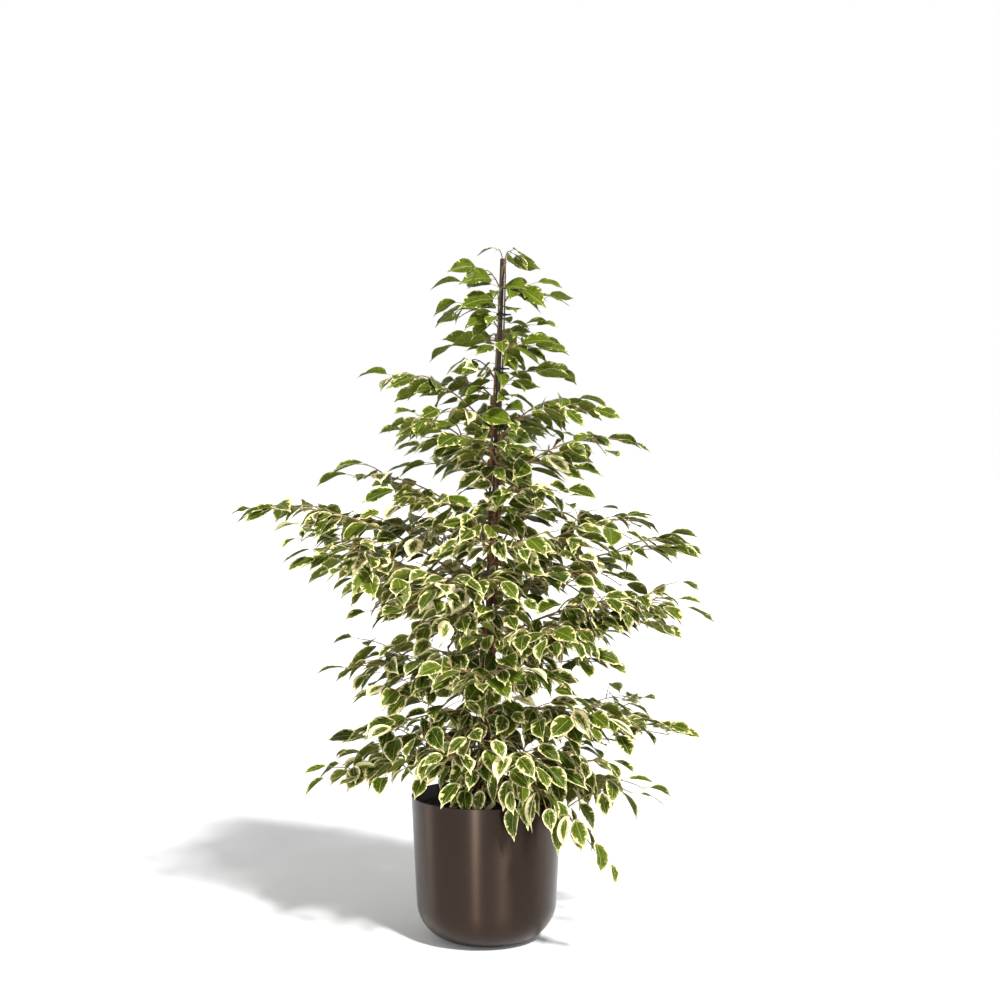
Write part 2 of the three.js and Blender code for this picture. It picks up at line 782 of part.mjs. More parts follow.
// A branch's skin, grown piece by piece so that it stays one closed surface. Its twigs are three-sided tubes,
// and each twig or stalk that leaves a tube grows from a small three-cornered opening in one of its sides.
class Skin {
  constructor() {
    this.points = [];
    this.faces = [];
    this.tubes = new Map();
  }

  addFace(part, ...corners) {
    this.faces.push({ part, corners });
  }

  addRing(ring) {
    return ring.map((point) => this.points.push(point) - 1);
  }

  // The corners of a ring, turned so that they lie nearest to those of another
  matched(from, to) {
    const apart = (shift) =>
      from.reduce((sum, a, k) => sum + distance(this.points[a], this.points[to[(k + shift) % 3]]), 0);
    const shift = [0, 1, 2].reduce((best, k) => (apart(k) < apart(best) ? k : best));
    return from.map((_, k) => from[(k + 3 - shift) % 3]);
  }

  // The sides between two rings, or between a ring and a point
  strip(part, from, to) {
    from.forEach((a, k) => {
      const next = (k + 1) % from.length;
      this.addFace(part, a, from[next], to[next % to.length]);
      if (to.length > 1) this.addFace(part, a, to[next], to[k]);
    });
  }

  // Starts a tube on a ring of corners that are there already, and keeps its sides open for what grows on it
  addTube(twig, start, rings) {
    const stretches = [];
    let last = start;
    for (const ring of rings) {
      const to = this.addRing(ring);
      stretches.push({ from: last, to, openings: [[], [], []] });
      last = to;
    }
    this.tubes.set(twig, stretches);
    return last;
  }

  // One side of a stretch: its corners, the axes across it, up it and out of it, and its middle line
  side({ from, to }, k) {
    const next = (k + 1) % 3;
    const corners = [from[k], from[next], to[next], to[k]].map((i) => this.points[i]);
    const [a, b, c, d] = corners;
    const across = unit(less(b, a));
    const line = less(middleOf([c, d]), middleOf([a, b]));
    const normal = unit(cross(across, line));
    const forward = cross(normal, across);
    return { corners, across, normal, forward, sideways: dot(line, across), long: dot(line, forward) };
  }

  // The stretch of a tube at a share of its length, the share along that stretch, and the place on its axis
  seat(twig, t) {
    const stretches = this.tubes.get(twig);
    const place = Math.min(t, LAST_SEAT) * stretches.length;
    const stretch = stretches[Math.floor(place)];
    const [low, high] = [stretch.from, stretch.to].map((end) => middleOf(end.map((i) => this.points[i])));
    const share = place - Math.floor(place);
    return { stretch, share, axis: add(low, less(high, low), share) };
  }

  // Makes an opening at a share of a tube's length, in the side that faces the ring that follows it.
  // Its corners are the ring's, moved back along the way on to that side, and drawn in to fit it.
  open(twig, t, ring, mostLong) {
    const { stretch, share, axis } = this.seat(twig, t);
    const target = middleOf(ring);
    const way = unit(less(target, axis));
    const facing = (k) => dot(this.side(stretch, k).normal, way);
    const k = [0, 1, 2].reduce((best, i) => (facing(i) > facing(best) ? i : best));
    const side = this.side(stretch, k);
    const [a, b, c, d] = side.corners;
    const lean = Math.max(LEAST_LEAN, facing(k));
    const flat = ring.map((corner) => {
      const out = less(corner, target);
      const back = add(out, way, -dot(out, side.normal) / lean);
      const up = dot(back, side.forward);
      return [dot(back, side.across) - (up * side.sideways) / side.long, up, 0];
    });
    const reach = (i) => Math.max(...flat.map((corner) => Math.abs(corner[i])));
    const wideAt = (v) => distance(a, b) + (distance(d, c) - distance(a, b)) * v;
    const drawn = Math.min(1, (OPENING_SHARE * wideAt(share)) / reach(0), mostLong / reach(1));
    const least = (reach(1) * drawn + OPENING_EDGE) / side.long;
    const along = Math.min(1 - least, Math.max(least, share));
    const near = (other) => Math.abs(other.along - along) * side.long < OPENING_SPACE;
    if (stretch.openings[k].some(near)) return null;
    const wide = wideAt(along);
    const corners = flat.map(([u, v]) => [0.5 + (u * drawn) / wide, along + (v * drawn) / side.long]);
    const indices = this.addRing(
      corners.map(([u, v]) => {
        const low = add(a, less(b, a), u);
        const high = add(d, less(c, d), u);
        return add(low, less(high, low), v);
      }),
    );
    stretch.openings[k].push({ along, corners, indices });
    return indices;
  }

  // Fills a tube's sides round their openings
  closeTube(twig) {
    for (const stretch of this.tubes.get(twig)) {
      stretch.openings.forEach((openings, k) => {
        const next = (k + 1) % 3;
        const { corners: [a, b], long } = this.side(stretch, k);
        const flat = ([u, v]) => new THREE.Vector2(u * distance(a, b), v * long);
        const outline = [[0, 0], [1, 0], [1, 1], [0, 1]].map(flat);
        const holes = openings.map(({ corners }) => corners.map(flat));
        const indices = [
          stretch.from[k],
          stretch.from[next],
          stretch.to[next],
          stretch.to[k],
          ...openings.flatMap((opening) => opening.indices),
        ];
        const spots = [...outline, ...holes.flat()];
        for (const face of THREE.ShapeUtils.triangulateShape(outline, holes)) {
          const [p, q, r] = face.map((i) => spots[i]);
          const area = (q.x - p.x) * (r.y - p.y) - (r.x - p.x) * (q.y - p.y);
          const [i, j, l] = face.map((corner) => indices[corner]);
          this.addFace(twig, i, ...(area > 0 ? [j, l] : [l, j]));
        }
      });
    }
  }

  // The parts that cross others or themselves: for each such pair, the one that was added last
  crossingParts(order) {
    const edges = new Map();
    this.faces.forEach(({ part, corners }) => {
      corners.forEach((a, k) => {
        const b = corners[(k + 1) % 3];
        if (a < b) edges.set(`${a} ${b}`, { part, a, b });
      });
    });
    const found = new Set();
    for (const { part, a, b } of edges.values()) {
      const [from, to] = [this.points[a], this.points[b]];
      for (const face of this.faces) {
        if (face.corners.includes(a) || face.corners.includes(b)) continue;
        const spots = face.corners.map((i) => this.points[i]);
        const apart = [0, 1, 2].some((i) => {
          const [low, high] = [Math.min(from[i], to[i]), Math.max(from[i], to[i])];
          return spots.every((spot) => spot[i] > high) || spots.every((spot) => spot[i] < low);
        });
        if (apart || !edgeThroughFace([from, to], spots)) continue;
        found.add(order.indexOf(part) > order.indexOf(face.part) ? part : face.part);
      }
    }
    return found;
  }

  solid() {
    const geometry = new THREE.BufferGeometry();
    geometry.setAttribute("position", new THREE.Float32BufferAttribute(this.points.flat(), 3));
    geometry.setIndex(this.faces.flatMap(({ corners }) => corners));
    return solidOf(geometry);
  }
}

// The skin of a branch: the main twig, the side twigs on it, and the leaves
function branchSkin([main, ...sides], leaves) {
  const skin = new Skin();
  const ends = new Map();
  const [root, ...onward] = twigRings(main);
  const start = skin.addRing(root);
  skin.addFace(main, start[0], start[2], start[1]);
  ends.set(main, skin.addTube(main, start, onward));
  for (const side of sides) {
    const [, ...further] = twigRings(side);
    const opening = skin.open(main, side.start, further[0], OPENINGS.twig);
    if (opening) ends.set(side, skin.addTube(side, opening, further));
  }
  for (const leaf of leaves.filter(({ twig }) => ends.has(twig))) {
    const { twig, t, last } = leaf;
    const sections = leafRings(leaf, last ? pointOn(twig.curve, 1) : skin.seat(twig, t).axis);
    const opening = last ? ends.get(twig) : skin.open(twig, t, sections[0], OPENINGS.stalk);
    if (!opening) continue;
    const rings = sections.map((section) => skin.addRing(section));
    if (last) ends.set(twig, null);
    rings.reduce((from, to) => {
      skin.strip(leaf, from, to);
      return to;
    }, last ? skin.matched(opening, rings[0]) : opening);
  }
  for (const [twig, end] of ends) {
    if (end) skin.addFace(twig, ...end);
    skin.closeTube(twig);
  }
  return skin;
}

// A branch as one solid, without the leaves and twigs that would cross what is there before them
function branchSolid(twigs, leaves) {
  let parts = [...twigs, ...leaves];
  for (;;) {
    const isTwig = (part) => Boolean(part.curve);
    const skin = branchSkin(parts.filter(isTwig), parts.filter((part) => !isTwig(part)));
    const crossing = skin.crossingParts(parts);
    if (!crossing.size) return skin.solid();
    parts = parts.filter((part) => !crossing.has(part) && !crossing.has(part.twig));
  }
}

// A solid with its owner and the box round it, for the tests of what would cross another piece
function placed(owner, solid) {
  return { owner, solid, box: solid.boundingBox() };
}

function crosses(one, others) {
  return others.some(({ solid, box }) => {
    const apart = [0, 1, 2].some((i) => box.min[i] > one.box.max[i] || box.max[i] < one.box.min[i]);
    return !apart && one.solid.intersect(solid).volume() > TOUCH;
  });
}

// The largest of the bodies that a cut leaves
function mainBody(solid) {
  return solid.decompose().reduce((best, body) => (body.volume() > best.volume() ? body : best));
}

// Chooses the twigs and leaves that cross nothing, and makes each branch, cut back to the stems
function branchSolids(fixed) {
  const { twigs, leaves } = grow();
  const standing = [...fixed];
  const chosen = BRANCHES.map(() => ({ twigs: [], leaves: [] }));
  const isFree = (owner, wider) => {
    const others = standing.filter((piece) => piece.owner !== owner);
    return !crosses(placed(owner, wider), others);
  };
  for (const twig of twigs.filter(({ kind }) => kind !== "fork")) {
    if (twig.kind === "main" || isFree(twig.branch, loft(twigRings(twig, CLEAR_OF_OTHERS)))) {
      standing.push(placed(twig.branch, loft(twigRings(twig))));
      chosen[twig.branch].twigs.push(twig);
    }
  }
  for (const leaf of leaves) {
    const { branch, twig, last, index } = leaf;
    const wanted = chosen[branch].twigs.includes(twig) && (last || index % KEEP_EVERY === KEPT_PLACE);
    if (wanted && isFree(branch, looseLeaf(leaf, CLEAR_OF_OTHERS))) {
      standing.push(placed(branch, looseLeaf(leaf)));
      chosen[branch].leaves.push(leaf);
    }
  }
  const sleeves = supportSleeves();
  return chosen.map((parts) => {
    const whole = branchSolid(parts.twigs, parts.leaves);
    return mainBody(sleeves.reduce((rest, sleeve) => rest.subtract(sleeve), whole));
  });
}

// Colours and finishes
const FINISHES = {
  bronze: { color: 0x4b3e36, roughness: 0.38, metalness: 0.85 },
  plastic: { color: 0x141312, roughness: 0.55, metalness: 0 },
  soil: { color: 0x21160e, roughness: 0.95, metalness: 0 },
  stake: { color: 0x4f483c, roughness: 0.6, metalness: 0 },
  bark: { color: 0x6b4326, roughness: 0.8, metalness: 0 },
  leaves: { color: 0x6f7c3f, roughness: 0.45, metalness: 0 },
};

function meshOf(name, solid, finish) {
  const { vertProperties, triVerts } = solid.getMesh();
  const geometry = new THREE.BufferGeometry();
  geometry.setAttribute("position", new THREE.Float32BufferAttribute(vertProperties, 3));
  geometry.setIndex(new THREE.BufferAttribute(triVerts, 1));
  geometry.computeVertexNormals();
  const mesh = new THREE.Mesh(geometry, new THREE.MeshStandardMaterial(FINISHES[finish]));
  mesh.name = name;
  return mesh;
}

function build() {
  const group = new THREE.Group();
  const pieces = [
    ["planter", planter(), "bronze"],
    ["grow_pot", growPot(), "plastic"],
    ["soil", soil(), "soil"],
    ["stake", stake(), "stake"],
    ...STEMS.map((row, i) => [`stem_${i + 1}`, stem(row), "bark"]),
    ...TIE_HEIGHTS.map((height, i) => [`tie_${i + 1}`, tie(height), "plastic"]),
  ];
  // The branches are cut back to the stake and the stems, so these stand in nobody's way
  const cutTo = /^(stem|stake)/;
  const fixed = pieces
    .filter(([name]) => !cutTo.test(name))
    .map(([name, solid]) => placed(name, solid));
  branchSolids(fixed).forEach((solid, i) => {
    pieces.push([`branch_${String(i + 1).padStart(2, "0")}`, solid, "leaves"]);
  });
  pieces.forEach(([name, solid, finish]) => group.add(meshOf(name, solid, finish)));
  return group;
}

export default build();
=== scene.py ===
# A variegated weeping fig, tied to a stake, in its nursery pot inside a round metal planter.
# The plant grows by the same seeded rules as the solids that it is dressed round, in millimetres.
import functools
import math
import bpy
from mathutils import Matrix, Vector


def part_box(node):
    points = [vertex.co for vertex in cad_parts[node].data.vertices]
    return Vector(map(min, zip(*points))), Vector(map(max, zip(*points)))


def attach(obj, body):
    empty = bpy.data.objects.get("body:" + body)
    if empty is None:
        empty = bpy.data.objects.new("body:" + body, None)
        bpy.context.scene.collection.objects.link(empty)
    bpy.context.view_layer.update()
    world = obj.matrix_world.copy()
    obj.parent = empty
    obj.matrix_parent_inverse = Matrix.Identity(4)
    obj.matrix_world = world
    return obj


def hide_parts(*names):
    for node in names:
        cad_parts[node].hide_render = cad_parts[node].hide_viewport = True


bl_info = {
    "name": "Weeping Fig in a Planter",
    "version": (1, 0, 0),
    "blender": (4, 5, 0),
    "location": "View3D > Sidebar > Fig",
    "description": "Builds a variegated weeping fig on its stake, in a nursery pot inside a metal planter",
    "category": "Add Mesh",
}

import bmesh
import bpy
import numpy as np
from mathutils import Euler, Vector, noise

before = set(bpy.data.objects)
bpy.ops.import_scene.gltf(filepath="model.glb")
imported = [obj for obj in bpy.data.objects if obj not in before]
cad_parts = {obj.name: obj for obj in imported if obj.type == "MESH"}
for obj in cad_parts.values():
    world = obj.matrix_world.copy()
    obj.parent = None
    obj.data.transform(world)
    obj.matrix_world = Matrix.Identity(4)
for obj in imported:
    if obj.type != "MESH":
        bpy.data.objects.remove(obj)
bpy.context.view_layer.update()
MM = 0.001

# The planter: its base, its rounded corner, and the finest division of round things
ROUND_SIDES = 96
BASE_RADIUS = 53
CORNER_RADIUS = 66
CORNER_STEPS = 12

# The nursery pot and the soil in it
NURSERY_FOOT_RADIUS = 80
NURSERY_TOP_RADIUS = 107
NURSERY_WALL = 1.6
NURSERY_RIM_REACH = 4
NURSERY_RIM_HEIGHT = 8
SOIL_TOP = 214
SOIL_EDGE_DROP = 5
SOIL_MOUND_RADIUS = 55

# The stake: a straight rod that leans to the right
STAKE_FOOT = (-9, 2, 120)
STAKE_TOP = (27, 0, 1152)
STAKE_RADIUS = 4

# The stems, wound round the stake: phase, radius at the soil, and height of the tip
STEMS = (
    (20, 6.2, 1140),
    (140, 5.4, 1156),
    (262, 5.8, 1085),
)
STEM_FOOT = 150
STEM_TOP_RADIUS = 1.6
STEM_TWIST = 250
STEM_OFF_STAKE = 0.5
STEM_TAPER = 0.8
# A stem takes a branch only if its tip is more than this above it, but the tallest stem takes any
STEM_ABOVE = 12

# The ties round the stems and the stake
TIE_HEIGHTS = (1058, 967, 403)
TIE_BAND = 4
TIE_THICK = 1.2
TIE_OFF = 0.6
TIE_SIDES = 48
# A tie's tail: its length, thickness, height and how far it is sunk, and how its end narrows
TIE_TAIL = (8, 2, 3.2, 1)
TIE_TAIL_END = (1, 0.6, 0.7)

# The branches: height on the stem, azimuth, reach, height of the tip, side twigs
BRANCHES = (
    (1128, 228, 20, 1166, 0),
    (1120, 312, 22, 1162, 0),
    (1100, 202, 32, 1130, 1),
    (1080, 6, 42, 1108, 1),
    (1068, 262, 34, 1092, 0),
    (1036, 176, 56, 1076, 1),
    (1014, -12, 40, 1040, 0),
    (992, 98, 60, 1028, 2),
    (978, 292, 56, 1006, 1),
    (950, 214, 50, 980, 1),
    (936, -24, 66, 960, 1),
    (908, 132, 96, 944, 2),
    (862, 176, 166, 954, 4),
    (850, 3, 124, 914, 4),
    (828, 62, 120, 886, 4),
    (806, 252, 118, 842, 3),
    (796, 206, 142, 878, 4),
    (770, -6, 204, 848, 3),
    (748, 112, 180, 820, 4),
    (726, 304, 112, 764, 4),
    (684, 174, 228, 784, 4),
    (672, 232, 190, 746, 4),
    (650, 68, 200, 722, 4),
    (632, 285, 195, 676, 5),
    (604, 16, 252, 706, 5),
    (592, 148, 270, 700, 5),
    (576, 183, 384, 730, 7),
    (560, -3, 302, 660, 5),
    (546, 252, 240, 614, 5),
    (530, 202, 298, 666, 6),
    (518, 98, 285, 610, 5),
    (505, 344, 300, 580, 6),
    (488, 300, 245, 532, 5),
    (478, 170, 188, 590, 5),
    (460, 4, 318, 556, 6),
    (446, 52, 270, 506, 5),
    (434, 266, 228, 462, 5),
    (428, 188, 218, 466, 5),
    (416, 126, 240, 434, 5),
    (388, 330, 180, 394, 5),
    (386, 222, 184, 384, 4),
    (356, -2, 300, 350, 6),
    (336, 177, 190, 312, 4),
    (332, 80, 250, 334, 5),
    (326, 250, 200, 334, 4),
    (310, 292, 196, 326, 4),
    (304, 190, 250, 278, 5),
    (298, 341, 252, 266, 5),
    (290, 138, 230, 262, 5),
    (280, 322, 240, 168, 5),
)

# The last of them hangs over the planter's rim
HANGING = len(BRANCHES) - 1

# A branch arches out of its stem: its knee lies at this share of the reach, above the higher end
MAIN_ROOT = 0.2
MAIN_KNEE = 0.52
MAIN_RISE = 0.05
MAIN_LIFT = 6
MAIN_THICK = 1.2
MAIN_THICK_PER_REACH = 0.0062
MAIN_MOST_OF_STEM = 0.62
MAIN_TIP = 0.8
MAIN_CLEAR_FROM = 14
MAIN_TURNS = (0, 7, -7, 14, -14, 21, -21)
# Its side twigs take turns left and right
SIDE_FIRST = 0.05
SIDE_SPAN = 0.83
SIDE_PLACE = (0.1, 0.8)
SIDE_SPREAD = (30, 62)
SIDE_SLOPE = (-0.36, 0.38)
SIDE_ARCH = (0.08, 0.24)
SIDE_SHARE = (0.42, 0.58)
SIDE_EXTRA = (32, 52)
SIDE_TURNS = (0, 9, -9, 18, -18, 27)
# The longer side twigs fork once or twice more
FORK_FROM = 88
FORK_TWICE_FROM = 125
FORK_FIRST = 0.3
FORK_STEP = 0.3
FORK_SHIFT = (-0.08, 0.08)
FORK_ALONG = 0.4
FORK_SPREAD = (28, 60)
FORK_SLOPE = (-0.5, 0.6)
FORK_LENGTH = (38, 66)
FORK_ARCH = 0.1
FORK_TURNS = (0, 14, -14, 28, -28)
# The leaves stand along each twig, left and right in turn, and one at its end
LEAF_SPACING = 23
LEAF_FIRST_ON_MAIN = 14
LEAF_FIRST_ON_TWIG = 12
LEAF_SHIFT = (-3, 3)
LEAF_END_TURN = (-14, 14)
LEAF_TURN = (14, 66)
LEAF_LOW_FROM = 900
LEAF_INNER_FROM = 240
LEAF_DROOP = (4, 36)
LEAF_DROOP_INSIDE = 32
LEAF_DROOP_LOW = 8
LEAF_MOST_DROOP = 88
LEAF_ROLL = (-34, 34)
LEAF_ROLL_INSIDE = 0.8
LEAF_DROOP_HANGING = 42
LEAF_ARCHES = (20, 34, 50)
LEAF_LENGTH = (43, 67)
LEAF_END_LENGTH = 0.9
LEAF_STALK = (12, 19)
LEAF_RISE = (-0.1, 0.45)
# Single leaves on the stems themselves
SPUR_FROM = 240
SPUR_TO = 1110
SPUR_STEP = 21
SPUR_STAGGER = 7
SPUR_ROOT = 0.5
SPUR_LEAN = (-85, 85)
SPUR_OWNERS = -2
# Late shoots on the stems, where the branches leave gaps: height, azimuth, length, slope
SHOOTS = (
    (1100, 272, 18, 0.0),
    (1046, 262, 24, 0.0),
    (1004, 285, 26, 0.0),
    (962, 258, 28, 0.0),
    (922, 280, 30, -0.1),
    (884, 262, 34, -0.1),
    (842, 278, 36, -0.1),
    (802, 262, 40, -0.1),
    (760, 280, 44, -0.1),
    (716, 268, 50, -0.1),
    (452, 8, 185, 0.22),
    (444, 342, 190, 0.18),
    (440, 192, 210, 0.08),
    (436, 272, 90, 0.1),
    (430, 304, 120, 0.05),
    (428, 238, 120, 0.0),
    (424, 160, 150, 0.1),
    (264, 180, 90, 0.3),
    (262, 272, 64, 0.1),
    (258, 306, 80, 0.1),
    (256, 236, 74, 0.1),
    (262, 0, 80, 0.3),
)
SHOOT_ARCH = 0.12
SHOOT_TURNS = (0, 8, -8, 16, -16, 24, -24)
SHOOT_NUMBERS = 700
# Each kind of twig: its radii, its reach forward as a share of its length, and from where it has to be clear
TWIG_KINDS = {
    "side": ((1.3, 0.7), 0.97, 0),
    "fork": ((0.9, 0.6), 0.95, 0),
    "shoot": ((1.5, 0.7), 1, MAIN_CLEAR_FROM),
}
# How much more a leaf turns and droops, tried in this order until a place is free
LEAF_TRIES = (
    (0, 0),
    (18, 8),
    (-18, 8),
    (0, 22),
    (34, 0),
    (-34, 0),
    (0, -16),
    (26, 30),
    (-26, 30),
    (50, 14),
    (-50, 14),
)
# Places on a blade that stay clear of the rest: across and along, as shares of its length
LEAF_SPOTS = (
    (0, 0.1),
    (0, 0.35),
    (0, 0.7),
    (0, 0.97),
    (0.2, 0.24),
    (-0.2, 0.24),
    (0.2, 0.44),
    (-0.2, 0.44),
    (0.13, 0.64),
    (-0.13, 0.64),
)
# The room that a point of each kind needs round it, and the share kept within one branch
ROOM_TWIG = 2
ROOM_NEW_TWIG = 2.4
ROOM_LEAF = 4.2
ROOM_WITHIN = 0.62
TWIG_STEP = 6
MAIN_FEWEST_STEPS = 4
TWIG_FEWEST_STEPS = 3
SUPPORT_STEP = 6
SUPPORTS = -1
CELL = 12

# Where the seeds of each kind of draw start
SIDE_SEED = 101
FORK_SEED = 501
LEAF_SEED = 1001
SPUR_SEED = 3001
STEM_SEED = 901
BRANCH_BLADE_SEED = 7001
STEM_BLADE_SEED = 8001
CRUMB_SEED = 77

# What keeps the plant out of the pots and off the ground
PLANTER_RADIUS = 128
PLANTER_HEIGHT = 245
RIM_CLEAR = 6
WALL_CLEAR = 7
SOIL_CLEAR = 5
GROUND_CLEAR = 12

# A blade's half width at places along it, as shares of its length, and its columns across
BLADE_OUTLINE = (
    (0, 0.014),
    (0.035, 0.082),
    (0.1, 0.16),
    (0.19, 0.222),
    (0.3, 0.259),
    (0.42, 0.27),
    (0.54, 0.252),
    (0.65, 0.206),
    (0.75, 0.138),
    (0.84, 0.052),
    (1, 0.006),
)
BLADE_COLUMNS = 4
# How blades differ: fold, twist, edge waves in mm and their number, sideways curve, and width
BLADE_FOLD = (0.04, 0.42)
BLADE_TWIST = (-24, 24)
BLADE_WAVE = (0.3, 1.7)
BLADE_WAVES = (1, 2)
BLADE_SICKLE = (-0.05, 0.05)
BLADE_WIDTH = (0.82, 1.1)
BLADE_WOBBLE = (0, 0.06)
BLADE_WOBBLES = 2.6
# The cream edge in mm: its least width, what it may have more, and how much fuller it is past some draws
CREAM_LEAST = 0.6
CREAM_MORE = 1.3
CREAM_FULLER = ((0.82, 1.5), (0.95, 5))
# It gets narrower up the plant
CREAM_FADE = 3.2
CREAM_FADE_FROM = 720
CREAM_FADE_OVER = 350
# The slope of the side veins, and how far apart the patterns of blades, and of a blade's halves, may lie
VEIN_SLOPE = 0.6
PATTERN_STEP = 40
HALVES_APART = 5
# Twigs: the step between their points, how much thicker they start, and how round they and the stems are
TWIG_POINTS = 14
TWIG_FLARE = 1.35
TWIG_ROUNDNESS = 1
STEM_ROUNDNESS = 4
# Stalks: the place and lift of the knee, the radii along them, and how far they run into the blade
STALK_KNEE = 0.55
STALK_LIFT = 1.2
STALK_RADII = ((0, 0.75), (0.3, 0.5), (0.7, 0.45), (1, 0.45))
STALK_FOOT = (4, 0.2)
# Buds: places along them and the radii there
BUD_RADII = ((-1, 0.6), (1.5, 0.8), (4, 0.5), (8, 0.08))
# The soil's lumps: width, layer of the noise, and height
SOIL_LUMPS = ((14, 3.7, 1.6), (4, 9.1, 0.8))

UP = (0, 0, 1)


# Vectors in millimetres
def add(a, b, k=1):
    return (a[0] + b[0] * k, a[1] + b[1] * k, a[2] + b[2] * k)


def less(a, b):
    return add(a, b, -1)


def dot(a, b):
    return a[0] * b[0] + a[1] * b[1] + a[2] * b[2]


def distance(a, b):
    away = less(a, b)
    return math.sqrt(dot(away, away))


def cross(a, b):
    return (a[1] * b[2] - a[2] * b[1], a[2] * b[0] - a[0] * b[2], a[0] * b[1] - a[1] * b[0])


def unit(a):
    n = math.sqrt(dot(a, a))
    return (a[0] / n, a[1] / n, a[2] / n)


def level(angle):
    return (math.cos(math.radians(angle)), math.sin(math.radians(angle)), 0)


def heading_of(a):
    return math.degrees(math.atan2(a[1], a[0]))


def point_on(curve, t):
    """A place on a curve with one knee."""
    a, b, c = (1 - t) * (1 - t), 2 * t * (1 - t), t * t
    return tuple(a * curve[0][i] + b * curve[1][i] + c * curve[2][i] for i in range(3))


def direction_on(curve, t):
    a, b = 2 * (1 - t), 2 * t
    return unit(tuple(a * (curve[1][i] - curve[0][i]) + b * (curve[2][i] - curve[1][i]) for i in range(3)))


def points_on(curve, steps):
    return [point_on(curve, (i + 1) / steps) for i in range(steps)]


class Draw:
    """A seeded stream of numbers, the same on every run."""

    modulus = 2147483647
    factor = 16807
    seed_factor = 7919
    seed_shift = 104729

    def __init__(self, seed):
        self.state = (seed * self.seed_factor + self.seed_shift) % self.modulus

    def between(self, limits):
        self.state = self.state * self.factor % self.modulus
        return limits[0] + (limits[1] - limits[0]) * self.state / self.modulus

    def hand(self):
        return 1 if self.between((0, 1)) < 0.5 else -1


class Taken:
    """The points that are taken, each with its room and its owner, sorted into cells."""

    def __init__(self):
        self.cells = {}

    def cell(self, at):
        return tuple(math.floor(v / CELL) for v in at)

    def put(self, points, room, owner):
        for at in points:
            self.cells.setdefault(self.cell(at), []).append((at, room, owner))

    def near(self, at):
        i, j, k = self.cell(at)
        for a in (i - 1, i, i + 1):
            for b in (j - 1, j, j + 1):
                for c in (k - 1, k, k + 1):
                    yield from self.cells.get((a, b, c), ())

    def free(self, points, room, owner, within=0):
        for at in points:
            for other, other_room, other_owner in self.near(at):
                need = (other_room + room) * (within if other_owner == owner else 1)
                away = less(other, at)
                if dot(away, away) < need * need:
                    return False
        return True


def stake_at(z):
    share = (z - STAKE_FOOT[2]) / (STAKE_TOP[2] - STAKE_FOOT[2])
    return tuple(STAKE_FOOT[i] + (STAKE_TOP[i] - STAKE_FOOT[i]) * share for i in (0, 1)) + (z,)


def stem_at(stem, z):
    """The centre, radius and angle round the stake of a stem at a height."""
    phase, base, top = stem
    high = max(z, SOIL_TOP)
    share = min(1, (high - SOIL_TOP) / (top - SOIL_TOP))
    radius = base + (STEM_TOP_RADIUS - base) * share**STEM_TAPER
    angle = phase + (STEM_TWIST * (high - SOIL_TOP)) / (STAKE_TOP[2] - SOIL_TOP)
    return add(stake_at(z), level(angle), STAKE_RADIUS + radius + STEM_OFF_STAKE), radius, angle


def clear_of_pots(points):
    for x, y, z in points:
        out = math.sqrt(x * x + y * y)
        in_wall = z < PLANTER_HEIGHT + RIM_CLEAR and abs(out - PLANTER_RADIUS) < WALL_CLEAR
        in_soil = out < PLANTER_RADIUS and z < SOIL_TOP + SOIL_CLEAR
        if in_wall or in_soil or z < GROUND_CLEAR:
            return False
    return True


def place_supports(taken):
    for z in range(SOIL_TOP, STAKE_TOP[2], SUPPORT_STEP):
        taken.put([stake_at(z)], STAKE_RADIUS, SUPPORTS)
        for stem in STEMS:
            if z < stem[2]:
                centre, radius, _ = stem_at(stem, z)
                taken.put([centre], radius, SUPPORTS)


def stem_for(height, azimuth):
    """The stem that a branch grows from: the one that faces its way."""
    tall = [stem for stem in STEMS if stem[2] > height + STEM_ABOVE or stem is STEMS[1]]
    return max(tall, key=lambda stem: math.cos(math.radians(stem_at(stem, height)[2] - azimuth)))


def grow_main(row, branch, taken):
    height, azimuth, reach, tip_height, _ = row
    centre, radius, _ = stem_at(stem_for(height, azimuth), height)
    root = add(centre, level(azimuth), MAIN_ROOT * radius)
    knee_height = max(tip_height, height) + MAIN_RISE * reach + MAIN_LIFT
    steps = max(MAIN_FEWEST_STEPS, math.floor(reach / TWIG_STEP))
    curves = []
    for turn in MAIN_TURNS:
        knee, tip = (add(centre, level(azimuth + turn), reach * share) for share in (MAIN_KNEE, 1))
        curves.append((root, (*knee[:2], knee_height), (*tip[:2], tip_height)))
    curve = curves[0]
    for candidate in curves:
        far = [at for at in points_on(candidate, steps) if distance(at, root) > MAIN_CLEAR_FROM]
        if taken.free(far, ROOM_NEW_TWIG, branch):
            curve = candidate
            break
    taken.put(points_on(curve, steps), ROOM_TWIG, branch)
    thick = min(MAIN_MOST_OF_STEM * radius, MAIN_THICK + MAIN_THICK_PER_REACH * reach)
    length = distance(curve[0], curve[1]) + distance(curve[1], curve[2])
    return {"branch": branch, "kind": "main", "curve": curve, "radii": (thick, MAIN_TIP), "length": length}


def arched(start, heading, length, slope, arch, forward):
    """The curve of a twig that leaves its start along a heading."""
    out = level(heading)
    knee = add(add(start, out, length * 0.5), UP, length * (arch + slope * 0.5))
    return (start, knee, add(add(start, out, length * forward), UP, length * slope))


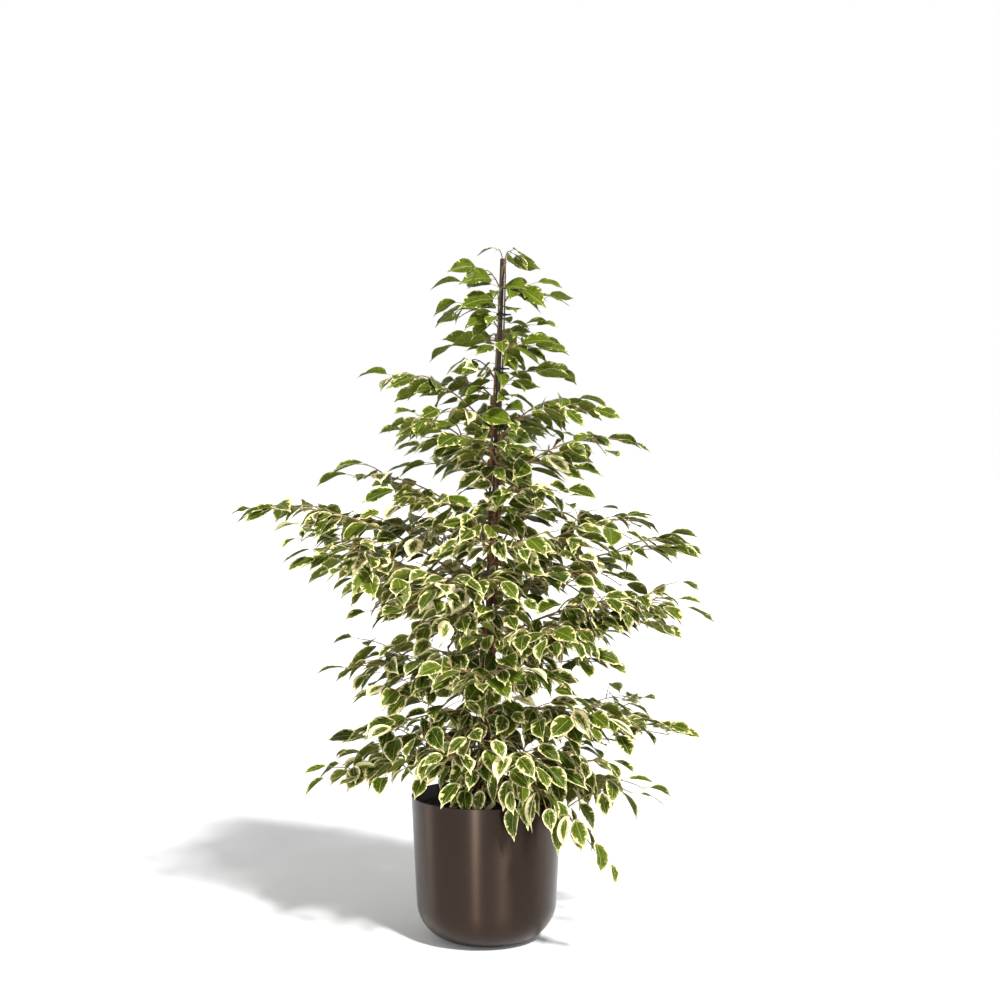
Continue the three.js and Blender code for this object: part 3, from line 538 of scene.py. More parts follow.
def place_twig(kind, owner, start, headings, length, slope, arch, taken):
    """Puts a twig at the first heading at which it is clear, or nowhere."""
    radii, forward, clear_from = TWIG_KINDS[kind]
    steps = max(TWIG_FEWEST_STEPS, math.floor(length / TWIG_STEP))
    for heading in headings:
        curve = arched(start, heading, length, slope, arch, forward)
        points = points_on(curve, steps)
        far = [at for at in points if distance(at, start) >= clear_from]
        if clear_of_pots(points) and taken.free(far, ROOM_NEW_TWIG, owner):
            taken.put(points, ROOM_TWIG, owner)
            return [{"branch": owner, "kind": kind, "curve": curve, "radii": radii, "length": length}]
    return []


def grow_sides(main, row, taken):
    draw = Draw(main["branch"] + SIDE_SEED)
    hand = draw.hand()
    twigs = []
    reach, count = row[2], row[4]
    for s in range(count):
        t = SIDE_FIRST + (SIDE_SPAN * (s + draw.between(SIDE_PLACE))) / count
        start = point_on(main["curve"], t)
        heading = heading_of(direction_on(main["curve"], t))
        lean = draw.between(SIDE_SPREAD)
        slope = draw.between(SIDE_SLOPE)
        arch = draw.between(SIDE_ARCH)
        length = draw.between(SIDE_SHARE) * (1 - t) * reach + draw.between(SIDE_EXTRA)
        hand = -hand
        headings = [heading + hand * (lean + turn) for turn in SIDE_TURNS]
        twigs += place_twig("side", main["branch"], start, headings, length, slope, arch, taken)
    return twigs


def grow_forks(side, number, taken):
    draw = Draw(number + FORK_SEED)
    hand = draw.hand()
    twigs = []
    for s in range(1 if side["length"] < FORK_TWICE_FROM else 2):
        start = point_on(side["curve"], FORK_FIRST + FORK_STEP * s + draw.between(FORK_SHIFT))
        heading = heading_of(direction_on(side["curve"], FORK_ALONG))
        lean = draw.between(FORK_SPREAD)
        slope = draw.between(FORK_SLOPE)
        length = draw.between(FORK_LENGTH)
        hand = -hand
        headings = [heading + hand * (lean + turn) for turn in FORK_TURNS]
        twigs += place_twig("fork", side["branch"], start, headings, length, slope, FORK_ARCH, taken)
    return twigs


def leaf_frame(base, heading, droop, roll, arch):
    """The axes of a blade at its base: to its side, along it and up from its face."""
    start = math.radians(droop - arch / 2)
    out = level(heading)
    along = unit((out[0] * math.cos(start), out[1] * math.cos(start), -math.sin(start)))
    flat = unit(cross(along, UP))
    lift = cross(flat, along)
    c, s = math.cos(math.radians(roll)), math.sin(math.radians(roll))
    side = tuple(flat[i] * c + lift[i] * s for i in range(3))
    return {"base": base, "side": side, "along": along, "face": cross(side, along), "arch": arch}


def on_leaf(axes, length, across, share):
    """A place on the arched blade."""
    bend = math.radians(axes["arch"])
    forward = math.sin(bend * share) / bend
    down = (math.cos(bend * share) - 1) / bend
    sideways = add(axes["base"], axes["side"], across * length)
    return add(add(sideways, axes["along"], forward * length), axes["face"], down * length)


def place_leaf(draw, at, heading, turn, last, owner, taken):
    """Puts a leaf at the first place that is free, or nowhere."""
    low = max(0, 1 - at[2] / LEAF_LOW_FROM)
    inner = max(0, 1 - math.sqrt(at[0] * at[0] + at[1] * at[1]) / LEAF_INNER_FROM)
    droop = draw.between(LEAF_DROOP) + LEAF_DROOP_INSIDE * inner * low + LEAF_DROOP_LOW * low
    if owner == HANGING:
        droop += LEAF_DROOP_HANGING
    roll = draw.between(LEAF_ROLL) * (1 + LEAF_ROLL_INSIDE * inner)
    arch = LEAF_ARCHES[math.floor(draw.between((0, len(LEAF_ARCHES))))]
    length = draw.between(LEAF_LENGTH) * (LEAF_END_LENGTH if last else 1)
    stalk = draw.between(LEAF_STALK)
    rise = draw.between(LEAF_RISE)
    for more_turn, more_droop in LEAF_TRIES:
        way = heading + turn + more_turn
        base = add(at, unit(add(level(way), UP, rise)), stalk)
        axes = leaf_frame(base, way, min(LEAF_MOST_DROOP, droop + more_droop), roll, arch)
        spots = [on_leaf(axes, length, across, share) for across, share in LEAF_SPOTS]
        if clear_of_pots(spots) and taken.free(spots, ROOM_LEAF, owner, ROOM_WITHIN):
            taken.put(spots, ROOM_LEAF, owner)
            return [{"branch": owner, "at": at, "axes": axes, "length": length}]
    return []


def grow_leaves(twig, number, taken):
    draw = Draw(number + LEAF_SEED)
    first = LEAF_FIRST_ON_MAIN if twig["kind"] == "main" else LEAF_FIRST_ON_TWIG
    count = max(1, math.floor((twig["length"] - first) / LEAF_SPACING))
    hand = draw.hand()
    leaves = []
    for j in range(count + 1):
        last = j == count
        t = 1 if last else min(1, (first + j * LEAF_SPACING + draw.between(LEAF_SHIFT)) / twig["length"])
        heading = heading_of(direction_on(twig["curve"], t))
        hand = -hand
        turn = draw.between(LEAF_END_TURN) if last else hand * draw.between(LEAF_TURN)
        leaves += place_leaf(draw, point_on(twig["curve"], t), heading, turn, last, twig["branch"], taken)
    return leaves


def grow_spurs(number, taken):
    """The leaves that stand on a stem."""
    draw = Draw(number + SPUR_SEED)
    leaves = []
    for z in range(SPUR_FROM + number * SPUR_STAGGER, SPUR_TO, SPUR_STEP):
        centre, radius, angle = stem_at(STEMS[number], z)
        at = add(centre, level(angle), SPUR_ROOT * radius)
        leaves += place_leaf(draw, at, angle, draw.between(SPUR_LEAN), False, SPUR_OWNERS - number, taken)
    return leaves


def grow_shoot(row, number, taken):
    """A late shoot on a stem, with its forks and leaves, or nothing where it has no room."""
    height, azimuth, length, slope = row
    stem = stem_for(height, azimuth)
    centre, radius, _ = stem_at(stem, height)
    start = add(centre, level(azimuth), MAIN_ROOT * radius)
    headings = [azimuth + turn for turn in SHOOT_TURNS]
    owner = SPUR_OWNERS - STEMS.index(stem)
    twigs = place_twig("shoot", owner, start, headings, length, slope, SHOOT_ARCH, taken)
    if twigs and length > FORK_FROM:
        twigs += grow_forks(twigs[0], number, taken)
    leaves = [leaf for k, twig in enumerate(twigs) for leaf in grow_leaves(twig, 3 * number + k, taken)]
    return twigs, leaves


@functools.cache
def grow():
    """Grows the whole plant: the twigs of every branch, their leaves, and what stands on the stems."""
    taken = Taken()
    place_supports(taken)
    twigs = [grow_main(row, branch, taken) for branch, row in enumerate(BRANCHES)]
    for main in list(twigs):
        twigs += grow_sides(main, BRANCHES[main["branch"]], taken)
    for number, twig in enumerate(list(twigs)):
        if twig["kind"] == "side" and twig["length"] > FORK_FROM:
            twigs += grow_forks(twig, number, taken)
    leaves = [leaf for number, twig in enumerate(twigs) for leaf in grow_leaves(twig, number, taken)]
    for number in range(len(STEMS)):
        leaves += grow_spurs(number, taken)
    for number, row in enumerate(SHOOTS, start=SHOOT_NUMBERS):
        more_twigs, more_leaves = grow_shoot(row, number, taken)
        twigs += more_twigs
        leaves += more_leaves
    return twigs, leaves


def growth_of(owner):
    """The twigs and the leaves of one branch or stem."""
    return [[part for part in parts if part["branch"] == owner] for parts in grow()]


# Modelling by hand: selecting, shaping and finishing
def deselect():
    if bpy.context.object and bpy.context.object.mode != "OBJECT":
        bpy.ops.object.mode_set(mode="OBJECT")
    bpy.ops.object.select_all(action="DESELECT")


def select_only(*pieces):
    deselect()
    for piece in pieces:
        piece.select_set(True)
    bpy.context.view_layer.objects.active = pieces[0]


def select_vertices(piece, wanted):
    """In edit mode, selects the vertices whose place is wanted, and what they hold between them."""
    shape = bmesh.from_edit_mesh(piece.data)
    for vertex in shape.verts:
        vertex.select_set(wanted(vertex.co))
    shape.select_flush(True)
    bmesh.update_edit_mesh(piece.data)


def turned(name, rings, sides=ROUND_SIDES):
    """A shell raised from a disc, ring by ring, each given as a radius and a height in millimetres."""
    deselect()
    radius, height = rings[0]
    bpy.ops.mesh.primitive_circle_add(
        vertices=sides, radius=radius * MM, fill_type="TRIFAN", location=(0, 0, height * MM)
    )
    piece = bpy.context.object
    piece.name = name
    bpy.ops.object.transform_apply()
    bpy.ops.object.mode_set(mode="EDIT")
    bpy.ops.mesh.select_mode(type="EDGE")
    bpy.ops.mesh.select_all(action="DESELECT")
    bpy.ops.mesh.select_non_manifold()
    for next_radius, next_height in rings[1:]:
        rise = (0, 0, (next_height - height) * MM)
        bpy.ops.mesh.extrude_edges_move(TRANSFORM_OT_translate={"value": rise})
        grown = next_radius / radius
        bpy.ops.transform.resize(value=(grown, grown, 1), center_override=(0, 0, next_height * MM))
        radius, height = next_radius, next_height
    return piece


def close_top():
    """In edit mode, draws the last ring together at its middle."""
    bpy.ops.mesh.merge(type="CENTER")


def outward():
    """In edit mode, turns every face outwards."""
    bpy.ops.mesh.select_all(action="SELECT")
    bpy.ops.mesh.normals_make_consistent(inside=False)
    bpy.ops.object.mode_set(mode="OBJECT")


def apply_modifier(piece, kind, **settings):
    select_only(piece)
    modifier = piece.modifiers.new(kind.title(), kind)
    for name, value in settings.items():
        setattr(modifier, name, value)
    bpy.ops.object.modifier_apply(modifier=modifier.name)


def thicken(piece, thickness, **settings):
    """Gives a shell its wall, inwards from its outer face."""
    apply_modifier(piece, "SOLIDIFY", thickness=thickness, offset=-1.0, use_even_offset=True, **settings)


def round_edges(piece, width, angle, segments=2):
    limit = math.radians(angle)
    apply_modifier(piece, "BEVEL", width=width, segments=segments, limit_method="ANGLE", angle_limit=limit)


def smooth(piece, angle):
    select_only(piece)
    bpy.ops.object.shade_smooth_by_angle(angle=math.radians(angle))


def tubes(name, strands, roundness, material):
    """Round tubes along strands of points, each point with its radius, all in millimetres."""
    deselect()
    bpy.ops.curve.primitive_bezier_curve_add()
    piece = bpy.context.object
    piece.name = name
    data = piece.data
    data.splines.clear()
    for strand in strands:
        spline = data.splines.new("POLY")
        spline.points.add(len(strand) - 1)
        for point, (at, radius) in zip(spline.points, strand):
            point.co = (at[0] * MM, at[1] * MM, at[2] * MM, 1)
            point.radius = radius
    data.dimensions = "3D"
    data.bevel_depth = MM
    data.bevel_resolution = roundness
    data.use_fill_caps = True
    bpy.ops.object.convert(target="MESH")
    bpy.context.object.data.materials.append(material)
    return bpy.context.object


def copied(piece, places):
    """A copy of a piece with a mesh of its own, its corners at places in metres."""
    copy = piece.copy()
    copy.data = piece.data.copy()
    copy.data.vertices.foreach_set("co", places.ravel())
    bpy.context.scene.collection.objects.link(copy)
    return copy


def write(data, name, values, kind="FLOAT", field="value"):
    """Gives each corner of a mesh its value of an attribute."""
    data.attributes.new(name, kind, "POINT").data.foreach_set(field, values)


def joined(name, pieces):
    select_only(*pieces)
    bpy.ops.object.join()
    piece = bpy.context.object
    piece.name = name
    piece.data.name = name
    return piece


def facing(way):
    """The rotation of a light, a camera or a rod whose own Z points a way."""
    return way.to_track_quat("Z", "Y").to_euler()


def dress(piece, node, slot, *materials):
    """Gives a piece the materials that are passed, and lets it stand for a node of the frame."""
    for material in materials:
        piece.data.materials.append(material)
    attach(piece, "root")
    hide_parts(node)


# Materials from nodes
class Nodes:
    """A tree of nodes, with a method for each kind of node that is added to it."""

    def __init__(self, tree):
        self.tree = tree

    def feed(self, socket, value):
        """Links a socket to another node's output, or gives it a plain value."""
        if isinstance(value, bpy.types.NodeSocket):
            self.tree.links.new(value, socket)
        else:
            socket.default_value = value

    def put(self, kind, inputs, output=0, **settings):
        """Adds a node, and gives one of its outputs."""
        item = self.tree.nodes.new("ShaderNode" + kind)
        for name, value in settings.items():
            setattr(item, name, value)
        for name, value in inputs.items():
            self.feed(item.inputs[name], value)
        return item.outputs[output]

    def maths(self, operation, *values):
        return self.put("Math", dict(enumerate(values)), operation=operation)

    def spread(self, value, low, high, start=0.0, end=1.0):
        """A value spread smoothly from one span over another."""
        limits = {"Value": value, "From Min": low, "From Max": high, "To Min": start, "To Max": end}
        return self.put("MapRange", limits, interpolation_type="SMOOTHSTEP")

    def blended(self, share, first, second):
        return self.put("Mix", {0: share, 6: first, 7: second}, output=2, data_type="RGBA")

    def mixed(self, value, low, high, first, second, shares=(0, 1)):
        """Blends a second colour in as a value rises from low to high, between two shares."""
        return self.blended(self.spread(value, low, high, *shares), first, second)

    def attribute(self, name, output="Fac"):
        return self.put("Attribute", {}, output=output, attribute_name=name)

    def axis(self, vector, name):
        return self.put("SeparateXYZ", {"Vector": vector}, output=name)

    def place(self, scale):
        place = self.put("TexCoord", {}, output="Object")
        return self.put("Mapping", {"Vector": place, "Scale": scale})

    def noise_at(self, vector, detail=3.0, rough=0.55):
        return self.put("TexNoise", {"Vector": vector, "Scale": 1.0, "Detail": detail, "Roughness": rough})

    def noise_on(self, vector, scale, detail):
        """Noise over places that an attribute gives."""
        return self.noise_at(self.put("VectorMath", {0: vector, 1: scale}, operation="MULTIPLY"), detail)

    def grain(self, scale, detail=3.0, rough=0.55):
        """Noise over the object, as fine along each axis as the scale says."""
        return self.noise_at(self.place(scale), detail, rough)

    def pores(self, scale):
        return self.put("TexVoronoi", {"Vector": self.place(scale), "Scale": 1.0})


class Look(Nodes):
    """A material, with its shader's plain values set."""

    def __init__(self, name, **values):
        self.material = bpy.data.materials.new(name)
        self.material.use_nodes = True
        super().__init__(self.material.node_tree)
        self.inputs = self.tree.nodes["Principled BSDF"].inputs
        for key, value in values.items():
            self.inputs[key.replace("_", " ").title().replace("Ior", "IOR")].default_value = value

    def finished(self, tone, roughness, relief, strength, depth):
        """The material, once its colour, roughness and relief are fed to its shader."""
        normal = self.put("Bump", {"Height": relief, "Strength": strength, "Distance": depth})
        for name, value in (("Base Color", tone), ("Roughness", roughness), ("Normal", normal)):
            self.feed(self.inputs[name], value)
        return self.material


def colour(red, green, blue):
    """A colour as it is seen, from 0 to 255, made linear."""
    values = [v / 255 for v in (red, green, blue)]
    return tuple(v / 12.92 if v <= 0.04045 else ((v + 0.055) / 1.055) ** 2.4 for v in values) + (1,)


def bronze_material(settings):
    """Satin bronze sheet, brushed round the planter, so that its highlights stretch upwards."""
    look = Look(
        "satin_bronze", metallic=1.0, anisotropic=0.9, anisotropic_rotation=0.25,
        coat_weight=0.18, coat_roughness=0.35
    )
    brush = look.grain((3, 3, 900), 4.0, 0.6)
    cloud = look.grain((9, 9, 4), 2.0)
    tone = look.mixed(cloud, 0.3, 0.7, settings.bronze, settings.bronze_dark)
    worn = look.mixed(brush, 0.35, 0.75, tone, settings.bronze_light, (0, 0.06))
    look.feed(look.inputs["Tangent"], look.put("Tangent", {}, direction_type="RADIAL", axis="Z"))
    return look.finished(worn, look.spread(brush, 0.3, 0.7, 0.33, 0.37), brush, 0.01, 0.0002)


def plastic_material(name, tone, tone_worn):
    """Moulded plastic with a fine matt grain and dusty patches."""
    look = Look(name, specular_ior_level=0.4)
    fine = look.grain((900, 900, 900))
    dust = look.grain((40, 40, 40))
    dusty = look.mixed(dust, 0.45, 0.75, tone, tone_worn, (0, 0.7))
    return look.finished(dusty, look.spread(dust, 0.3, 0.7, 0.45, 0.65), fine, 0.15, 0.0003)


def soil_material():
    """Damp potting mix, with paler crumbs."""
    look = Look("potting_mix", specular_ior_level=0.15)
    coarse = look.grain((160, 160, 160), 5.0, 0.7)
    clods = look.grain((45, 45, 45), 2.0)
    dark = look.mixed(clods, 0.35, 0.65, colour(22, 15, 10), colour(38, 26, 17))
    speckled = look.mixed(coarse, 0.62, 0.74, dark, colour(82, 60, 40), (0, 0.8))
    crumbly = look.blended(look.attribute("crumb_tone"), speckled, colour(104, 74, 46))
    return look.finished(crumbly, 0.95, coarse, 0.8, 0.002)


def stake_material():
    """A weathered dark rod with grain along it."""
    look = Look("weathered_rod", specular_ior_level=0.35)
    fibres = look.grain((900, 900, 14), 4.0, 0.6)
    base = look.mixed(look.grain((30, 30, 9)), 0.35, 0.65, colour(38, 32, 30), colour(64, 54, 46))
    streaked = look.mixed(fibres, 0.5, 0.72, base, colour(92, 80, 66), (0, 0.6))
    return look.finished(streaked, look.spread(fibres, 0.3, 0.7, 0.5, 0.75), fibres, 0.4, 0.0006)


def bark_material(settings):
    """Reddish brown bark, with grey patches, cracks round the stem and pale pores."""
    look = Look("fig_bark", specular_ior_level=0.3)
    patches = look.grain((60, 60, 16))
    rings = look.grain((130, 130, 700), 3.0, 0.65)
    fine = look.grain((600, 600, 600))
    base = look.mixed(patches, 0.36, 0.6, settings.bark_orange, settings.bark_brown)
    grey = look.mixed(patches, 0.6, 0.72, base, colour(112, 98, 84), (0, 0.7))
    cracked = look.mixed(rings, 0.56, 0.7, grey, colour(48, 26, 15), (0, 0.75))
    pores = look.pores((420, 420, 900))
    spotted = look.mixed(pores, 0.0, 0.16, cracked, colour(178, 148, 112), (0.8, 0))
    height = look.axis(look.place((1, 1, 1)), "Z")
    young = look.mixed(height, 0.72, 1.05, spotted, settings.bark_young, (0, 0.85))
    relief = look.maths("ADD", look.maths("MULTIPLY", rings, -1.0), look.maths("MULTIPLY", fine, 0.4))
    return look.finished(young, look.spread(fine, 0.3, 0.7, 0.6, 0.85), relief, 0.55, 0.0012)


@functools.cache
def twig_material():
    """Young bark: brown, with a green cast and small pale pores."""
    look = Look("young_bark", specular_ior_level=0.35)
    patches = look.grain((90, 90, 90))
    base = look.mixed(patches, 0.35, 0.65, colour(98, 80, 58), colour(140, 112, 72))
    spotted = look.mixed(look.pores((700, 700, 700)), 0.0, 0.18, base, colour(160, 138, 104), (0.7, 0))
    return look.finished(spotted, look.spread(patches, 0.3, 0.7, 0.5, 0.7), patches, 0.3, 0.0005)


@functools.cache
def stalk_material():
    """Leaf stalks and buds: pale yellow-green, browner in places."""
    look = Look("leaf_stalk", specular_ior_level=0.4)
    patches = look.grain((60, 60, 60), 2.0)
    base = look.mixed(patches, 0.38, 0.66, colour(146, 142, 84), colour(118, 92, 58))
    return look.finished(base, look.spread(patches, 0.3, 0.7, 0.4, 0.55), patches, 0.2, 0.0004)


def leaf_material(settings):
    """A variegated blade: deep green, grey-green towards a jagged cream edge, and a pale midrib."""
    look = Look("variegated_leaf", specular_ior_level=0.07)
    veins = look.attribute("vein_place", "Vector")
    below = look.attribute("underside")
    jagged = look.noise_on(veins, (0.1, 0.26, 1), 1.0)
    blotched = look.noise_on(veins, (0.05, 0.13, 1.3), 1.0)
    patchy = look.noise_on(veins, (0.1, 0.16, 1.7), 2.0)
    blotches = look.spread(blotched, 0.54, 0.76, 0, settings.blotches)
    ragged = look.maths("MULTIPLY_ADD", jagged, -settings.raggedness, 0.5 * settings.raggedness)
    margin = look.maths("ADD", look.attribute("cream_width"), blotches)
    inside = look.maths("SUBTRACT", look.attribute("edge_distance"), look.maths("ADD", margin, ragged))
    greyness = look.maths("SUBTRACT", look.spread(inside, 0.3, 5.0, 0.9, 0.0), patchy)
    paler = look.spread(patchy, 0.35, 0.65, 0, 0.45)
    lighter = look.maths("MULTIPLY_ADD", look.attribute("youth"), 0.55, paler)
    deep = look.blended(lighter, settings.leaf_deep, settings.leaf_green)
    greens = look.mixed(greyness, -0.08, 0.12, deep, settings.leaf_grey, (0, 0.85))
    pale = look.mixed(blotched, 0.45, 0.75, settings.leaf_cream, settings.leaf_yellow)
    variegated = look.mixed(inside, -0.2, 0.2, greens, pale, (1, 0))
    midrib = look.spread(look.axis(veins, "X"), 0.15, 0.45, 0.65, 0)
    ribbed = look.blended(midrib, variegated, settings.leaf_midrib)
    back = look.blended(look.maths("MULTIPLY", below, 0.4), ribbed, settings.leaf_back)
    shine = look.maths("MULTIPLY_ADD", below, 0.25, look.spread(jagged, 0.3, 0.7, 0.32, 0.42))
    wave = look.maths("SINE", look.maths("MULTIPLY", look.axis(veins, "Y"), 1.7))
    relief = look.maths("ADD", look.maths("MULTIPLY", wave, 0.5), look.maths("MULTIPLY", midrib, -1.5))
    return look.finished(back, shine, relief, 0.35, 0.0003)


# The sizes and colours that a user would change
def size_property(name, description, default):
    return bpy.props.FloatProperty(
        name=name, description=description, default=default, min=0.0, unit="LENGTH", subtype="DISTANCE"
    )


def number_property(name, description, default):
    return bpy.props.FloatProperty(name=name, description=description, default=default, min=0.0)


def colour_property(name, description, default):
    return bpy.props.FloatVectorProperty(
        name=name, description=description, default=default, size=4, min=0.0, max=1.0, subtype="COLOR"
    )


class FigPotSettings(bpy.types.PropertyGroup):
    """Sizes and colours of the planter."""

    wall: size_property("Wall", "Thickness of the planter's sheet metal", 0.0022)
    rim_round: size_property("Rim rounding", "How far the planter's rim is rounded off", 0.0008)
    bronze: colour_property("Bronze", "Colour of the planter", colour(57, 45, 37))
    bronze_dark: colour_property("Dark bronze", "Colour of its darker clouds", colour(52, 41, 34))
    bronze_light: colour_property("Light bronze", "Colour of its brush lines", colour(78, 63, 53))


class FigPlantSettings(bpy.types.PropertyGroup):
    """Sizes and colours of the plant."""

    blade_thickness: size_property("Leaf thickness", "Thickness of a leaf at its midrib", 0.0006)
    raggedness: number_property("Ragged edge", "How far the cream edge wanders, in millimetres", 6.0)
    blotches: number_property("Blotches", "How far cream blotches reach inwards, in millimetres", 7.0)
    leaf_deep: colour_property("Deep green", "Middle of a leaf", colour(22, 38, 7))
    leaf_green: colour_property("Green", "Lighter patches of a leaf", colour(94, 108, 24))
    leaf_grey: colour_property("Grey green", "Patches next to the cream edge", colour(130, 134, 76))
    leaf_cream: colour_property("Cream", "Edge of a leaf", colour(242, 231, 182))
    leaf_yellow: colour_property("Yellow cream", "Deeper parts of the edge", colour(212, 194, 128))
    leaf_midrib: colour_property("Midrib", "Line along the middle of a leaf", colour(178, 186, 108))
    leaf_back: colour_property("Underside", "Cast of the matt underside", colour(108, 116, 44))
    bark_orange: colour_property("Orange bark", "Younger bark of the stems", colour(140, 80, 45))
    bark_brown: colour_property("Brown bark", "Older bark of the stems", colour(84, 51, 35))
    bark_young: colour_property("Young bark", "Bark at the top of the stems", colour(102, 88, 64))


class FigStageSettings(bpy.types.PropertyGroup):
    """The floor, the light and the view."""

    floor: colour_property("Floor", "Colour of the floor", (0.8, 0.8, 0.8, 1))
    sun: number_property("Key light", "Strength of the key light", 5.4)
    softness: bpy.props.FloatProperty(
        name="Softness", description="Width of the key light", default=math.radians(6.5), subtype="ANGLE"
    )
    sky: number_property("Sky", "Light from above, beside the wall's", 0.58)


class FIG_OT_planter(bpy.types.Operator):
    """Add the round metal planter"""

    bl_idname = "fig.planter"
    bl_label = "Planter"

    def execute(self, context):
        settings = context.scene.fig_pot
        _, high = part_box("planter")
        corner = [(math.sin(a), math.cos(a)) for a in np.linspace(0, math.pi / 2, CORNER_STEPS + 1)]
        rings = [(BASE_RADIUS + CORNER_RADIUS * s, CORNER_RADIUS * (1 - c)) for s, c in corner]
        planter = turned("metal_planter", [*rings, (high.x / MM, high.z / MM)])
        outward()
        # The inner wall gets near-black colours: painted shade, as dark as the inside of the planter looks
        # in its own shade.
        inside = plastic_material("planter_inside_painted_shade", colour(7, 6, 6), colour(15, 13, 12))
        for material in (bronze_material(settings), inside):
            planter.data.materials.append(material)
        thicken(planter, settings.wall, material_offset=1)
        round_edges(planter, settings.rim_round, 50, 3)
        smooth(planter, 40)
        dress(planter, "planter", "bronze_metal")
        return {"FINISHED"}


class FIG_OT_nursery_pot(bpy.types.Operator):
    """Add the plastic pot that the plant grew in"""

    bl_idname = "fig.nursery_pot"
    bl_label = "Nursery pot"

    shoulder = 1
    lip_fall = 1.5

    def execute(self, context):
        low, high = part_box("grow_pot")
        foot, top = low.z / MM, high.z / MM
        under_rim = top - NURSERY_RIM_HEIGHT
        share = (under_rim - foot) / (top - foot)
        neck = NURSERY_FOOT_RADIUS + (NURSERY_TOP_RADIUS - NURSERY_FOOT_RADIUS) * share
        rim = neck + NURSERY_RIM_REACH - NURSERY_WALL
        rings = [
            (NURSERY_FOOT_RADIUS, foot),
            (neck, under_rim - self.shoulder),
            (rim, under_rim),
            (rim + self.shoulder, under_rim + self.shoulder),
            (NURSERY_TOP_RADIUS + NURSERY_RIM_REACH - NURSERY_WALL / 2, top - self.lip_fall),
            (NURSERY_TOP_RADIUS + NURSERY_RIM_REACH - NURSERY_WALL, top),
            (NURSERY_TOP_RADIUS - NURSERY_WALL / 2, top),
        ]
        pot = turned("nursery_pot", rings)
        outward()
        thicken(pot, NURSERY_WALL * MM)
        round_edges(pot, 0.0004, 40)
        smooth(pot, 35)
        black = plastic_material("black_plastic", colour(20, 19, 18), colour(46, 42, 38))
        dress(pot, "grow_pot", "black_plastic", black)
        return {"FINISHED"}


def soil_height(x, y):
    """The height of the mounded soil at a place, with its lumps, in millimetres."""
    out = math.sqrt(x * x + y * y)
    fall = max(0, (out - SOIL_MOUND_RADIUS) / (NURSERY_TOP_RADIUS - SOIL_MOUND_RADIUS))
    lumps = sum(noise.noise(Vector((x / w, y / w, layer))) * lift for w, layer, lift in SOIL_LUMPS)
    return SOIL_TOP - SOIL_EDGE_DROP * fall + lumps


class FIG_OT_soil(bpy.types.Operator):
    """Add the potting soil and its crumbs"""

    bl_idname = "fig.soil"
    bl_label = "Soil"

    rings = 20
    crumbs = 420
    crumb_size = (1.2, 3.4)
    crumb_stretch = (0.5, 1.3)
    crumb_knocks = (0.75, 1.2)
    crumb_shrink = (0.7, 1)
    crumb_rise = 0.3
    edge_clear = 4

    def execute(self, context):
        low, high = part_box("soil")
        edge = high.x / MM
        foot = NURSERY_FOOT_RADIUS - 2 * NURSERY_WALL
        rings = [(foot, low.z / MM), (edge, SOIL_TOP - SOIL_EDGE_DROP)]
        rings += [(edge * (1 - i / self.rings), SOIL_TOP) for i in range(1, self.rings)]
        soil = turned("potting_soil", rings)
        close_top()
        outward()
        for vertex in soil.data.vertices:
            if vertex.co.z > low.z + MM:
                vertex.co.z = soil_height(vertex.co.x / MM, vertex.co.y / MM) * MM
        smooth(soil, 60)
        piece = joined("potting_soil", [soil, *self.scatter(edge - self.edge_clear)])
        dress(piece, "soil", "potting_soil", soil_material())
        return {"FINISHED"}

    def scatter(self, reach):
        """Crumbs of the mix, copied from one that is knocked out of round."""
        deselect()
        bpy.ops.mesh.primitive_ico_sphere_add(subdivisions=1, radius=MM)
        crumb = bpy.context.object
        draw = Draw(CRUMB_SEED)
        corners = np.array([vertex.co for vertex in crumb.data.vertices])
        copies = []
        for _ in range(self.crumbs):
            out = reach * math.sqrt(draw.between((0, 1)))
            angle = draw.between((0, 2 * math.pi))
            x, y = out * math.cos(angle), out * math.sin(angle)
            size = draw.between(self.crumb_shrink) ** 2 * draw.between(self.crumb_size)
            stretch = [draw.between(self.crumb_stretch) for _ in range(3)]
            turn = Euler([draw.between((0, math.pi)) for _ in range(3)]).to_matrix()
            rough = np.array([[draw.between(self.crumb_knocks)] for _ in corners])
            places = (corners * rough * stretch * size) @ np.array(turn).T
            places += np.array((x, y, soil_height(x, y) + size * self.crumb_rise)) * MM
            copies.append(copied(crumb, places))
            write(copies[-1].data, "crumb_tone", [draw.between((0, 1)) ** 3] * len(corners))
        bpy.data.objects.remove(crumb)
        return copies


class FIG_OT_stake(bpy.types.Operator):
    """Add the slim rod that the stems are tied to"""

    bl_idname = "fig.stake"
    bl_label = "Stake"

    sides = 20

    def execute(self, context):
        deselect()
        foot, top = Vector(STAKE_FOOT) * MM, Vector(STAKE_TOP) * MM
        bpy.ops.mesh.primitive_cylinder_add(
            vertices=self.sides,
            radius=STAKE_RADIUS * MM,
            depth=(top - foot).length,
            location=(foot + top) / 2,
            rotation=facing(top - foot),
        )
        stake = bpy.context.object
        stake.name = "support_stake"
        bpy.ops.object.transform_apply()
        round_edges(stake, 0.0008, 60, 3)
        smooth(stake, 40)
        dress(stake, "stake", "stake_rod", stake_material())
        return {"FINISHED"}


